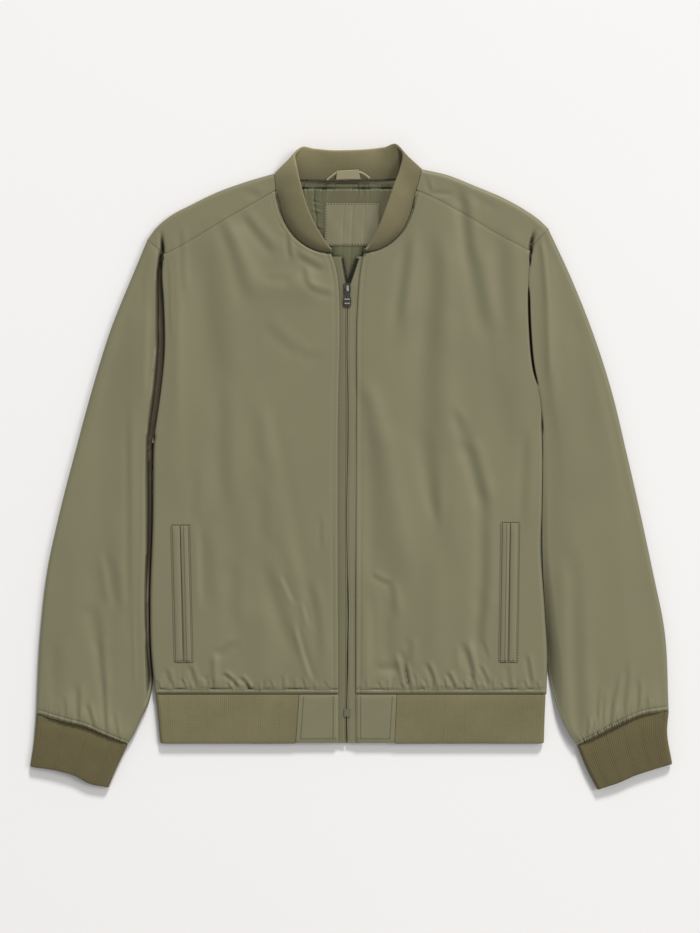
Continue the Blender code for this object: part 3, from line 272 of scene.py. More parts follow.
# How the sleeve dips beside the body: the photograph's row, the width that lies lowest, the width
# where it is back at its full height, and how deep it dips, 1 being down to the floor.
DIPS = {
    "right": ((228, 0.3, 2, 0.5), (245, 2.5, 5.5, 0.9), (300, 6.5, 10, 1), (350, 7.5, 11, 1),
              (400, 7.5, 11, 1), (430, 7, 10, 1), (470, 6.5, 9, 1), (530, 5, 8, 1),
              (560, 4, 7, 1), (600, 3, 6, 1), (640, 3, 7, 1), (670, 3.5, 10, 1), (700, 5, 13, 1)),
    "left": ((224, 0.3, 3, 0.5), (236, 1.8, 3.8, 0.7), (252, 1.6, 3.6, 0.7), (264, 0.2, 2, 0),
             (286, 0.2, 2, 0), (300, 0.3, 1.5, 0.5), (345, 0.3, 1.5, 0.6), (366, 0.5, 1.9, 0.65),
             (386, 0.3, 2.5, 0), (430, 0.3, 3, 0.1), (500, 0.3, 6, 0.25), (560, 0.5, 9, 0.45),
             (600, 0.8, 12, 0.65), (640, 1.5, 15, 0.85), (690, 3, 20, 1)),
}

surfaces, pieces = {}, {}


# ---- lines, patches and heights ----


def run_along(points):
    """Distance along a chain of points, at each of them."""
    return np.concatenate([[0], np.cumsum(np.linalg.norm(np.diff(points, axis=0), axis=1))])


def line(points, smooth=True, at=None):
    """A line through points: the result takes fractions of its length, or places among at."""
    p = np.array([tuple(q) for q in points], float)
    run = run_along(p)
    at = run / run[-1] if at is None else np.array(at)
    slope = np.gradient(p, at, axis=0) if smooth else None

    def point(t):
        t = np.clip(np.asarray(t, float), 0, 1)
        if not smooth:
            return np.stack([np.interp(t, at, p[:, k]) for k in range(p.shape[1])], axis=-1)
        i = np.clip(np.searchsorted(at, t, side="right") - 1, 0, len(at) - 2)
        h = (at[i + 1] - at[i])[..., None]
        s = (t - at[i])[..., None] / h
        return (
            (1 + 2 * s) * (1 - s) ** 2 * p[i]
            + s * (1 - s) ** 2 * h * slope[i]
            + s * s * (3 - 2 * s) * p[i + 1]
            + s * s * (s - 1) * h * slope[i + 1]
        )

    point.at = at
    point.length = run[-1]
    return point


def ease(t):
    """0 to 1, flat at both ends."""
    t = np.clip(t, 0, 1)
    return t * t * (3 - 2 * t)


def bell(x, width=1.0):
    """1 at 0, falling to about a third a width away."""
    return np.exp(-((x / width) ** 2))


def round_edge(distance, radius):
    """How far an edge is turned down at a distance from it."""
    return radius * (1 - np.sqrt(1 - np.clip(1 - distance / radius, 0, 1) ** 2))


def unit(v):
    return v / np.maximum(np.linalg.norm(v, axis=-1, keepdims=True), 1e-9)


def inset(edge, t, distance, sign):
    """Points that far inside a folded edge, towards the piece's middle."""
    d = edge(np.clip(t + 0.01, 0, 1)) - edge(np.clip(t - 0.01, 0, 1))
    d /= np.linalg.norm(d, axis=-1, keepdims=True)
    inward = np.stack([-sign * d[..., 1], sign * d[..., 0]], axis=-1)
    return edge(t) + inward * np.asarray(distance)[..., None]


def inset_points(edge, distance, sign, places):
    """Points that far inside a folded edge, at some fractions of its length."""
    return [inset(edge, np.array(t), distance, sign) for t in places]


def patch(bottom, top, start, end, across, up):
    """The plan of a panel between four seam lines, for one row: across holds fractions."""
    a = across[:, None]
    low = bottom(across) + (1 - a) * (start(0.0) - bottom(0.0)) + a * (end(0.0) - bottom(1.0))
    high = top(across) + (1 - a) * (start(1.0) - top(0.0)) + a * (end(1.0) - top(1.0))
    flat = (1 - a) * start(up) + a * end(up)
    corners_low = (1 - a) * start(0.0) + a * end(0.0)
    corners_high = (1 - a) * start(1.0) + a * end(1.0)
    return flat + (1 - up) * (low - corners_low) + up * (high - corners_high)


def relief(plan, folds):
    """How far the folds lift the cloth at points seen from above."""
    x, y = plan[..., 0], plan[..., 1]
    z = np.zeros_like(x)
    for f in (Fold(*row) for row in folds):
        dx, dy = f.x1 - f.x0, f.y1 - f.y0
        size = math.hypot(dx, dy)
        along = ((x - f.x0) * dx + (y - f.y0) * dy) / size**2
        across = ((x - f.x0) * dy - (y - f.y0) * dx) / size
        end = ease(along / 0.3 + 0.5) * ease((1 - along) / 0.3 + 0.5)
        z += f.rise * bell(across, f.width) * end
    return z


def seen(x, y):
    """Plan place of a point of the photograph."""
    return (x - PHOTO_X) * PIXEL, (PHOTO_Y - y) * PIXEL


def crease_relief(plan, creases):
    x, y = plan[..., 0], plan[..., 1]
    z = np.zeros_like(x)
    for c in (Crease(*row) for row in creases):
        (x0, y0), (x1, y1) = seen(c.x0, c.y0), seen(c.x1, c.y1)
        size = math.hypot(x1 - x0, y1 - y0)
        dx, dy = (x1 - x0) / size, (y1 - y0) / size
        along = ((x - x0) * dx + (y - y0) * dy) / size
        across = (y - y0) * dx - (x - x0) * dy
        inside = np.clip(along, -0.2, 1.2)
        across = across - c.bow * PIXEL * 4 * inside * (1 - inside)
        u = across / (c.width * (1 + (c.widen - 1) * inside))
        end = ease((along + 0.12) / 0.36) * ease((1.12 - along) / 0.36)
        z += (c.rise * bell(u) + c.step * u * np.exp(0.5 - 0.5 * u * u)) * end
    return CREASE * z


def pucker(run):
    """An uneven small ripple along a seam, between -1 and 1."""
    return 0.5 * np.sin(run * 1.05 + 1.7 * np.sin(run * 0.13)) + 0.3 * np.sin(
        run * 1.9 + 2.3 * np.sin(run * 0.07 + 1)) + 0.2 * np.sin(run * 0.47)


def pleat(plan, row, away):
    """Close pleats over part of a cuff seam: from and to a place, their pitch and height."""
    x0, y0, x1, y1, pitch, high = row
    dx, dy = x1 - x0, y1 - y0
    size = math.hypot(dx, dy)
    run = ((plan[:, 0] - x0) * dx + (plan[:, 1] - y0) * dy) / size
    inside = ease(run / 6) * ease((size - run) / 12)
    wave = np.sin(2 * math.pi * run / pitch + 0.8 * np.sin(run * 0.31))
    return high * wave * inside * (bell(away - 2.6, 2.4)
                                   + 0.5 * bell(away - 8, 4) * (away > CUFF_STITCH))


def distance_to(plan, points):
    """How far points seen from above are from a chain of places."""
    best = np.full(len(plan), 1e9)
    for a, b in zip(points, points[1:]):
        a, b = np.array(a), np.array(b)
        d = b - a
        t = np.clip(((plan - a) @ d) / (d @ d), 0, 1)
        best = np.minimum(best, np.linalg.norm(plan - a - t[:, None] * d, axis=1))
    return best


def body_top(plan):
    """Height of the fronts' outer face at points seen from above."""
    return (BODY_TOP + FRONT_FOLD * relief(plan, BODY_FOLDS)
            + FRONT_CREASE * crease_relief(plan, FRONT_CREASES))


# ---- meshes ----


def grid_faces(shape, base, closed, closed_rows=False):
    r, c = shape
    i = np.arange(r * c).reshape(r, c) + base
    if closed:
        i = np.concatenate([i, i[:, :1]], axis=1)
    if closed_rows:
        i = np.concatenate([i, i[:1]], axis=0)
    faces = np.stack([i[:-1, :-1], i[:-1, 1:], i[1:, 1:], i[1:, :-1]], axis=-1)
    return faces.reshape(-1, 4)


def grid_uv(grid, closed, closed_rows=False):
    """Cloth coordinates in metres, one pair for each corner of each face."""
    g = grid
    if closed:
        g = np.concatenate([g, g[:, :1]], axis=1)
    if closed_rows:
        g = np.concatenate([g, g[:1]], axis=0)
    u = run_along(g[len(g) // 2])
    v = run_along(g[:, g.shape[1] // 3])
    uv = np.stack(np.broadcast_arrays(u[None, :], v[:, None]), axis=-1) * MM
    return np.stack([uv[:-1, :-1], uv[:-1, 1:], uv[1:, 1:], uv[1:, :-1]], axis=2).reshape(-1, 4, 2)


def normals_of(verts, faces):
    a, b, c, d = (verts[faces[:, k]] for k in range(4))
    n = np.cross(c - a, d - b)
    total = np.zeros_like(verts)
    for k in range(4):
        np.add.at(total, faces[:, k], n)
    return unit(total)


def add_mesh(name, verts, faces, uvs, look, body="jacket", sharp=50):
    """A piece made from points in millimetres, riding on a body."""
    label = f"{name}_cloth" if name in nodes else name
    mesh = bpy.data.meshes.new(label)
    mesh.from_pydata((np.asarray(verts) * MM).tolist(), [], faces)
    layer = mesh.uv_layers.new(name="cloth")
    layer.data.foreach_set("uv", np.concatenate([np.ravel(u) for u in uvs]).astype(np.float32))
    mesh.validate()
    mesh.shade_smooth()
    mesh.set_sharp_from_angle(angle=math.radians(sharp))
    mesh.materials.append(look)
    pieces[name] = made = bpy.data.objects.new(label, mesh)
    bpy.context.scene.collection.objects.link(made)
    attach(made, body)


def shell(name, grids, thick, look, flip=False, closed=False, soften=2):
    """A closed wall of cloth behind grids of outer points, welded where they meet."""
    verts = np.concatenate([g.reshape(-1, 3) for g in grids])
    faces, uvs, base = [], [], 0
    for g in grids:
        faces.append(grid_faces(g.shape[:2], base, closed))
        uvs.append(grid_uv(g, closed))
        base += g.shape[0] * g.shape[1]
    faces, uvs = np.concatenate(faces), np.concatenate(uvs)
    _, first, back = np.unique(np.round(verts / 0.03).astype(int), axis=0,
                               return_index=True, return_inverse=True)
    verts, faces = verts[first], back.reshape(-1)[faces]
    ordered = np.sort(faces, axis=1)
    real = (np.diff(ordered, axis=1) > 0).sum(axis=1) >= 2
    faces, uvs = faces[real], uvs[real]
    if flip:
        faces, uvs = faces[:, ::-1], uvs[:, ::-1]
    ways = normals_of(verts, faces)
    pairs = np.concatenate([faces[:, [k, (k + 1) % 4]] for k in range(4)])
    pairs = pairs[pairs[:, 0] != pairs[:, 1]]
    for _ in range(soften):
        total = ways.copy()
        np.add.at(total, pairs[:, 0], ways[pairs[:, 1]] * 0.5)
        np.add.at(total, pairs[:, 1], ways[pairs[:, 0]] * 0.5)
        ways = unit(total)
    count = len(verts)
    every = np.concatenate([verts, verts - ways * thick])
    key = np.sort(pairs, axis=1)
    _, back, times = np.unique(key, axis=0, return_inverse=True, return_counts=True)
    rim = pairs[times[back.reshape(-1)] == 1]
    polygons, corners = [], []
    for quad, uv in zip(faces.tolist(), uvs):
        keep = [k for k in range(4) if quad[k] != quad[k - 1]]
        if len(keep) < 3 or len({quad[k] for k in keep}) < len(keep):
            continue
        polygons.append([quad[k] for k in keep])
        corners.append(uv[keep])
    outer = len(polygons)
    polygons += [[count + v for v in reversed(p)] for p in polygons]
    corners += [c[::-1] for c in corners[:outer]]
    for a, b in rim.tolist():
        polygons.append([b, a, count + a, count + b])
        corners.append(np.zeros((4, 2)))
    surfaces[name] = BVHTree.FromPolygons(verts.tolist(), polygons[:outer])
    add_mesh(name, every, polygons, corners, look)


def grid_normals(grid, closed, flip):
    g = grid
    if closed:
        g = np.concatenate([g[:, -1:], g, g[:, :1]], axis=1)
    du = np.gradient(g, axis=1)
    dv = np.gradient(g, axis=0)
    n = unit(np.cross(du, dv))
    if closed:
        n = n[:, 1:-1]
    return -n if flip else n


def band(name, grid, ribs, thick, look, flip=False, closed=False):
    """A doubled knit band: ribs on both faces, and its last row turned over as a round edge."""
    n = grid_normals(grid, closed, flip)
    rows = len(grid)
    fade = ease(np.arange(rows) / 1.5 + 0.4)[:, None, None]
    outer = grid + n * ribs[None, :, None] * fade
    way = unit(outer[-1] - outer[-2])
    half = thick / 2
    centre = outer[-1] - n[-1] * half
    arc = [centre + half * (n[-1] * math.cos(a) + way * math.sin(a))
           for a in np.linspace(0, math.pi, 7)[1:-1]]
    inner = (outer - n * thick)[::-1]
    tube = np.concatenate([outer, np.array(arc), inner])
    faces = grid_faces(tube.shape[:2], 0, closed, closed_rows=True)
    uvs = grid_uv(tube, closed, closed_rows=True)
    if flip:
        faces, uvs = faces[:, ::-1], uvs[:, ::-1]
    polygons, corners = faces.tolist(), list(uvs)
    if not closed:
        r, c = tube.shape[:2]
        for column in (0, c - 1):
            cap = [k * c + column for k in range(r)]
            if (column != 0) != flip:
                cap = cap[::-1]
            polygons.append(cap)
            corners.append(np.zeros((r, 2)))
    surfaces[name] = BVHTree.FromPolygons(tube.reshape(-1, 3).tolist(), faces.tolist())
    add_mesh(name, tube.reshape(-1, 3), polygons, corners, look, sharp=70)


def top_of(names, x, y):
    """Height of the highest of those surfaces at a point seen from above, or None."""
    above = Vector((x, y, 1000.0))
    hits = [surfaces[n].ray_cast(above, Vector((0, 0, -1)))[0] for n in names]
    hits = [h.z for h in hits if h is not None]
    return max(hits) if hits else None


def rib_wave(run):
    """Height of a 1x1 rib at a distance across it."""
    return RIB_DEPTH * (np.abs(np.cos(math.pi * run / RIB_PITCH)) ** 0.7 * 2 - 1.2)


# ---- materials ----


WAVE = 0.314  # the wave texture's own pitch at a scale of 1


def new_material(name):
    made = bpy.data.materials.new(name)
    made.use_nodes = True
    return made, made.node_tree, made.node_tree.nodes["Principled BSDF"]


def set_inputs(tree, made, inputs):
    """Gives a node's inputs values, or links to sockets."""
    for key, value in inputs.items():
        if isinstance(value, bpy.types.NodeSocket):
            tree.links.new(value, made.inputs[key])
        else:
            made.inputs[key].default_value = value


def node(tree, kind, inputs, **settings):
    made = tree.nodes.new(kind)
    for key, value in settings.items():
        setattr(made, key, value)
    set_inputs(tree, made, inputs)
    return made


def own_place(tree):
    """The object's own coordinates, in metres."""
    return node(tree, "ShaderNodeTexCoord", {}).outputs["Object"]


def cloth_place(tree):
    """Coordinates along the cloth, in metres."""
    return node(tree, "ShaderNodeUVMap", {}, uv_map="cloth").outputs["UV"]


def ramp(tree, source, low, dark, high, light):
    """A colour that goes from dark to light between two values of a source."""
    made = node(tree, "ShaderNodeValToRGB", {"Fac": source})
    for element, at, colour in zip(made.color_ramp.elements, (low, high), (dark, light)):
        element.position = at
        element.color = (*colour, 1.0)
    return made.outputs["Color"]


def rescale(tree, value, start, end, first, last):
    return node(tree, "ShaderNodeMapRange", {"Value": value, "From Min": start, "From Max": end,
                "To Min": first, "To Max": last}).outputs["Result"]


def maths(tree, operation, *values):
    """The result of a Math node on sockets or numbers."""
    return node(tree, "ShaderNodeMath", dict(enumerate(values)), operation=operation).outputs[0]


def mean(tree, one, other):
    return maths(tree, "MULTIPLY", maths(tree, "ADD", one, other), 0.5)


def noise(tree, place, scale, detail=2.0, roughness=0.5):
    return node(tree, "ShaderNodeTexNoise", {"Vector": place, "Scale": scale, "Detail": detail,
                "Roughness": roughness}).outputs["Fac"]


def bands(tree, place, direction, pitch, distortion, detail, detail_scale):
    """Waves over pairs of threads or rows, whose pitch is in millimetres."""
    return node(tree, "ShaderNodeTexWave", {"Vector": place, "Scale": WAVE / pitch / MM / 2,
                "Distortion": distortion, "Detail": detail, "Detail Scale": detail_scale},
                wave_type="BANDS", bands_direction=direction).outputs["Fac"]


def bump(tree, height, strength, distance):
    return node(tree, "ShaderNodeBump", {"Height": height, "Strength": strength,
                "Distance": distance * MM}).outputs["Normal"]


def dimmed(tree, colour, share):
    return node(tree, "ShaderNodeVectorMath", {0: colour, "Scale": share},
                operation="SCALE").outputs["Vector"]


def paint_crevice_shade(tree, colour, closed, open_to):
    """A colour darkened as painted shade where the cloth closes in, as in slits and seams."""
    sky = node(tree, "ShaderNodeAmbientOcclusion", {"Distance": 16 * MM}, samples=8)
    return dimmed(tree, colour, rescale(tree, sky.outputs["AO"], closed, open_to, 0.08, 1.0))


def woven(name, dark, light, pitch, roughness, rough=0.12, sheen=0.0, tint=(1, 1, 1), specular=0.5,
          crevice_shade=None):
    """A smooth woven cloth: two crossed waves of thread, and slow changes of tone."""
    made, tree, shader = new_material(name)
    uv = cloth_place(tree)
    weave = maths(tree, "MULTIPLY", *(bands(tree, uv, way, pitch, 0.6, 1.0, 3.0) for way in "XY"))
    slub = noise(tree, uv, 700.0)
    shade = mean(tree, noise(tree, own_place(tree), 9.0, 3.0, 0.55), slub)
    colour = ramp(tree, shade, 0.3, dark, 0.7, light)
    # Painted shade in slits and seams, when asked for.
    if crevice_shade:
        colour = paint_crevice_shade(tree, colour, *crevice_shade)
    height = maths(tree, "ADD", maths(tree, "MULTIPLY", weave, 0.6), slub)
    set_inputs(tree, shader, {
        "Base Color": colour, "Normal": bump(tree, height, rough, 0.2), "Roughness": roughness,
        "Specular IOR Level": specular, "Specular Tint": (*tint, 1.0), "Sheen Weight": sheen,
        "Sheen Roughness": 0.4, "Sheen Tint": (*tint, 1.0)})
    return made


def knit(name, dark, light, rows=1.0):
    """Rib knit: rows of small loops on the modelled ribs, with a fuzzy surface."""
    made, tree, shader = new_material(name)
    place = own_place(tree)
    loops = bands(tree, cloth_place(tree), "Y", 1.3, 1.5, 2.0, 4.0)
    fuzz = noise(tree, place, 900.0, 3.0)
    shade = mean(tree, noise(tree, place, 24.0, 4.0, 0.6), fuzz)
    height = maths(tree, "ADD", maths(tree, "MULTIPLY", loops, rows), fuzz)
    set_inputs(tree, shader, {
        "Base Color": ramp(tree, shade, 0.35, dark, 0.65, light),
        "Normal": bump(tree, height, 0.35, 0.3), "Roughness": 0.95, "Specular IOR Level": 0.15,
        "Sheen Weight": 0.15, "Sheen Roughness": 0.5})
    return made


def shaded(look, high, share, back):
    """Painted shade on the collar: darker at its foot and left corner, but not behind the neck."""
    tree = look.node_tree
    shader = tree.nodes["Principled BSDF"]
    colour = shader.inputs["Base Color"].links[0].from_socket
    split = node(tree, "ShaderNodeSeparateXYZ", {"Vector": own_place(tree)})
    behind = maths(tree, "MAXIMUM", maths(tree, "SUBTRACT", split.outputs["Y"], back * MM), 0.0)
    corner = rescale(tree, split.outputs["X"], 25 * MM, 65 * MM, 1.5, -1.5)
    up = maths(tree, "MULTIPLY_ADD", behind, corner, split.outputs["Z"])
    along = rescale(tree, up, 0.0, high * MM, share, 1.0)
    set_inputs(tree, shader, {"Base Color": dimmed(tree, colour, along)})


def metal(name, colour, worn, roughness):
    """Plated metal, with brighter worn places."""
    made, tree, shader = new_material(name)
    spots = noise(tree, own_place(tree), 900.0, 4.0)
    set_inputs(tree, shader, {
        "Base Color": ramp(tree, spots, 0.45, colour, 0.7, worn),
        "Normal": bump(tree, spots, 0.1, 0.1), "Metallic": 1.0, "Roughness": roughness})
    return made


# Each cloth's darker and lighter shade, the pitch of its threads in millimetres and its roughness.
# The shell gets painted shade where it closes in on itself, in slits and seams.
SHELL = woven("olive_shell", (0.150, 0.1485, 0.0852), (0.170, 0.169, 0.097), 0.35, 0.55,
              sheen=0.1, tint=(1.0, 0.76, 0.64), specular=0.6, crevice_shade=(0.44, 0.86))
KNIT = knit("olive_rib", (0.145, 0.129, 0.066), (0.180, 0.158, 0.086))
# A lighter copy of the rib for the collar, darkened below by painted shade.
COLLAR_RIB_PAINTED_SHADE = knit("olive_collar_rib_painted_shade", (0.265, 0.232, 0.123), (0.317, 0.278, 0.153), rows=0.2)
shaded(COLLAR_RIB_PAINTED_SHADE, 85, 0.49, 332)
# A darker copy of the rib for the cuffs: painted shade, as they face away from the light.
CUFF_RIB_PAINTED_SHADE = knit("olive_cuff_rib_painted_shade", (0.098, 0.083, 0.038), (0.122, 0.104, 0.050))
# The lining gets painted shade in its crevices, as along the collar's inner edge.
LINING = woven("olive_lining", (0.096, 0.094, 0.048), (0.117, 0.115, 0.059), 0.3, 0.5,
               rough=0.1, sheen=0.1, tint=(1.0, 0.95, 0.8), specular=0.35, crevice_shade=(0.55, 0.94))
PATCH = woven("plain_patch", (0.165, 0.156, 0.095), (0.188, 0.177, 0.109), 0.35, 0.5,
              rough=0.1, sheen=0.1, tint=(1.0, 0.9, 0.7), specular=0.4)
TAPE = woven("olive_tape", (0.150, 0.152, 0.088), (0.174, 0.176, 0.103), 0.6, 0.6, rough=0.4,
             sheen=0.1, tint=(1.0, 0.7, 0.6), specular=0.6)
LOOP = woven("khaki_loop", (0.33, 0.29, 0.17), (0.40, 0.35, 0.215), 0.5, 0.55, rough=0.3)
THREAD = woven("olive_thread", (0.042, 0.039, 0.021), (0.062, 0.057, 0.031), 0.3, 0.7, rough=0.3)
# A darker copy of the tape for the right side: painted shade.
TAPE_PAINTED_SHADE = woven("olive_tape_painted_shade", (0.132, 0.132, 0.076), (0.150, 0.150, 0.086), 0.6, 0.6,
                  rough=0.4, sheen=0.1, tint=(1.0, 0.7, 0.6), specular=0.5)
BOX = woven("olive_box", (0.10, 0.10, 0.058), (0.12, 0.12, 0.07), 0.8, 0.5, rough=0.1)
METAL = metal("gunmetal", (0.07, 0.064, 0.053), (0.24, 0.225, 0.195), 0.28)
# Brighter metal for painted highlights on the slider's top and the pull's ridges.
PAINTED_HIGHLIGHT_METAL = metal("bright_metal_painted_highlight", (0.55, 0.54, 0.5), (0.8, 0.78, 0.74), 0.25)
COIL = metal("black_coil", (0.012, 0.011, 0.010), (0.05, 0.046, 0.04), 0.4)


# ---- the body ----


LOW = 1.5  # height of a sleeve where it dips beside the body


def dip(name, y, d):
    """How far the sleeve is sunk beside the body: at a distance from it, and at its edge."""
    rows = np.array(DIPS[name])
    at = (PHOTO_Y - rows[:, 0]) * PIXEL
    low, full, depth = (np.interp(-y, -at, rows[:, k]) for k in (1, 2, 3))
    return depth * (1 - ease((d - low) / (full - low)) ** 0.75), depth


def body_edge(side):
    """The body's outer edge seen from above, as its x at each y."""
    points = np.array(side["side"] + side["armhole"][1:])
    return lambda y: np.interp(y, points[:, 1], points[:, 0])


WING = 92  # columns over the shoulder


def front_grid(name, side):
    """Outer points of one front, hem to shoulder, with the points of its armhole."""
    sign = side["sign"]
    edge = line(side["side"] + side["armhole"][1:])
    armpit = edge.at[len(side["side"]) - 1]
    bottom = line((side["front_edge"][0], side["side"][0]))
    neck, forward = line(side["neck"]), line(side["forward_seam"])
    share = 0.36  # how much of its upper edge is the neck

    def top(f):
        f = np.asarray(f, float)[..., None]
        at_neck, at_seam = neck(f[..., 0] / share), forward((f[..., 0] - share) / (1 - share))
        return np.where(f < share, at_neck, at_seam)

    def rise(b):
        b = np.asarray(b, float)
        depth = dip(name, edge(b)[..., 1], 10.0)[1]
        over = ease((b - armpit) * edge.length / 12) * ease((1 - b) * edge.length / 10)
        closed = np.maximum(ease(((b - armpit) / (1 - armpit) - 0.9) / 0.1),
                            (1 - depth) * ease((b - armpit) * edge.length / 26))
        normal = SEAM_HEIGHT + (BODY_TOP - 0.4 - SEAM_HEIGHT) * closed
        return normal + (LOW - normal) * depth * over

    def roll(b):
        return np.arcsin((rise(b) - FOLD) / FOLD)

    def shoulder_line(b):
        return inset(edge, np.asarray(b, float), FOLD * np.cos(roll(b)), sign)

    start = line(side["front_edge"])
    neck_chain = neck(np.linspace(0, 1, 24))
    total = edge.length
    levels = np.concatenate([np.linspace(0, 50, 36), np.linspace(50, total * armpit, 112)[1:],
                             np.linspace(total * armpit, total, 96)[1:]]) / total
    near = np.array((0, 0.35, 0.9, 1.6, 2.6)) / FRONT_WIDTH
    across = np.concatenate([near[:4], np.linspace(near[4], share, 52),
                             np.linspace(share, 1, WING)[1:]])
    grid = []
    for b in levels:
        plan = patch(bottom, top, start, shoulder_line, across, b)
        z = body_top(plan)
        from_edge = np.linalg.norm(plan - plan[0], axis=1)
        z = z - round_edge(from_edge, EDGE_TURN) - 0.7 * bell(from_edge - EDGE_STITCH, 0.9)
        run = plan[:, 0]
        up = b * total
        wander = 0.6 * np.sin(run / 11 + 1.4 * np.sin(run / 23))
        deep = 1.0 + 0.5 * np.sin(run / 5.3 + 2 * np.sin(run / 17))
        z -= 2.0 * bell(up, 1.5)
        z -= deep * bell(up - EDGE_STITCH - wander)
        ripple = 0.6 * bell(up - 3, 2.2) + math.exp(-up / 9) * ease((up - 5) / 2)
        z += 0.5 * pucker(run) * ripple
        z += 0.10 * pucker(plan[:, 1] * 0.8) * bell(from_edge - 5, 3.0)
        if b > 0.8:
            near = distance_to(plan, neck_chain)
            z -= 1.3 * bell(near, 1.1)
            z -= 0.35 * bell(near - NECK_STITCH, 0.9)
            z += 0.12 * pucker((run + plan[:, 1]) * 0.9) * bell(near - 4, 3.0)
            z -= 0.3 * bell((1 - b) * total, 1.2)
        points = list(np.column_stack([plan, z]))
        last, tip = points[-1], edge(np.array(b))
        seam, low = float(rise(b)), float(roll(b))
        crisp = 1 - 0.55 * float(ease((b - armpit) * total / 26))
        for k in range(1, 9):
            turn = math.pi / 2 + (low - math.pi / 2) * k / 8
            out = (math.cos(turn) / math.cos(low)) ** crisp
            up = max(0.0, (math.sin(turn) - math.sin(low)) / (1 - math.sin(low))) ** crisp
            place = last[:2] + (tip - last[:2]) * out
            points.append(np.array((*place, seam + (last[2] - seam) * up)))
        grid.append(points)
    grid = np.array(grid)
    return grid, grid[levels >= armpit - 1e-9, -1], grid[-1, len(across) - WING:len(across)]


def back_half(side, forward_points):
    """Half the back, centre to side, its wing over the shoulder, and its armhole points."""
    sign = side["sign"]
    low_turn = math.asin((SEAM_HEIGHT - FOLD) / FOLD) - 2 * GAP / FOLD
    side_edge = line(side["side"])
    inner = inset_points(side_edge, FOLD, sign, np.linspace(0, 1, 7))
    shoulder = line(side["shoulder"])
    tip = shoulder(1.0)
    end = np.array(forward_points[-1][:2])
    under = tip + (end - tip) / np.linalg.norm(end - tip) * FOLD
    edge = line([*inner, *side["armhole_back"], under])
    armpit = edge.at[6]
    start = line(((CENTRE_X, HEM_Y), (CENTRE_X, 336)))
    share = 0.38
    forward = line([p[:2] for p in forward_points], smooth=False)

    def fold_start(t):
        outline, seam = shoulder(t), forward(t)
        way = (seam - outline) / np.linalg.norm(seam - outline, axis=-1, keepdims=True)
        return outline + way * FOLD

    neck = line([(CENTRE_X, 336), *reversed(side["neck_back"]), fold_start(np.array(0.0))])

    def top(f):
        f = np.asarray(f, float)[..., None]
        return np.where(f < share, neck(f[..., 0] / share),
                        fold_start(np.clip((f[..., 0] - share) / (1 - share), 0, 1)))

    bottom = line(((CENTRE_X, HEM_Y), inner[0]))
    across = np.concatenate([np.linspace(0, share, 16), np.linspace(share, 1, WING)[1:]])
    below = np.concatenate([np.linspace(0, 0.1, 11), np.linspace(0.1, armpit, 40)[1:]])
    above = np.linspace(edge.at[7], 1, 30)
    rows, armhole = [], []
    for b in [*below, *above]:
        plan = patch(bottom, top, start, edge, across, b)
        inside = ease(np.linspace(1, 0, len(plan)) * 22) * ease((1 - b) * 14)
        lift = BACK_FOLD * relief(plan, BACK_FOLDS) * inside
        points = [(*p, z) for p, z in zip(plan, lift)]
        last, out = plan[-1], side_edge(np.array(b / armpit))
        closing = 0.35 + 0.65 * ease((armpit - b) / 0.02)
        for k in range(1, 9):
            if b > armpit + 1e-9:
                points.append(points[-1])
                continue
            turn = -math.pi / 2 + (low_turn + math.pi / 2) * closing * k / 8
            place = last + (out - last) * math.cos(turn)
            points.append((*place, FOLD + FOLD * math.sin(turn)))
        if b > armpit + 1e-9:
            armhole.append(points[-1])
        rows.append(points)
    wing = [rows[-1][len(across) - WING:len(across)]]
    columns = np.linspace(0, 1, WING)
    outline, seam, begin = shoulder(columns), forward(forward.at), fold_start(columns)
    for turn in np.radians([-67, -45, -22, 0, 22, 45, 67, 90]):
        place = begin + (outline - begin) * math.cos(turn)
        wing.append([(*p, FOLD + FOLD * math.sin(turn)) for p in place])
    for t in np.linspace(0, 1, 14)[1:]:
        way = seam - begin
        reach = 1 - GAP * (t == 1.0) / np.linalg.norm(way, axis=-1, keepdims=True)
        place = begin + way * t * reach
        height = BODY_TOP + (body_top(place) - BODY_TOP) * min(1.0, 1.6 * t)
        height = height - 0.3 * bell((1 - t) * 28, 1.2)
        wing.append([(*p, z) for p, z in zip(place, height)])
    return np.array(rows), np.array(wing), np.array(armhole)


# ---- sleeves and bands ----

ACROSS = np.concatenate([np.linspace(0, 0.12, 22), np.linspace(0.12, 1, 106)[1:]])
TURN, UNDER = 9, 28


def ring(outer_tip, inner_tip, top, under, rises, count):
    """A flattened ring: its top row, the outer fold, its underside and the inner fold."""
    turns = np.linspace(math.pi / 2, -math.pi / 2, count + 2)[1:-1]
    points = list(top)
    folds = ((outer_tip, top[-1], under[0], rises[0], turns),
             (inner_tip, top[0], under[-1], rises[1], turns[::-1]))
    for k, (tip, over, below, rise, order) in enumerate(folds):
        over_at, below_at = np.array(over[:2]), np.array(below[:2])
        for turn in order:
            share = (1 + math.sin(turn)) / 2
            place = below_at + (over_at - below_at) * share + (tip - over_at) * math.cos(turn)
            points.append(np.array((*place, below[2] + (over[2] - below[2]) * share**rise)))
        if k == 0:
            points += list(under)
    return points


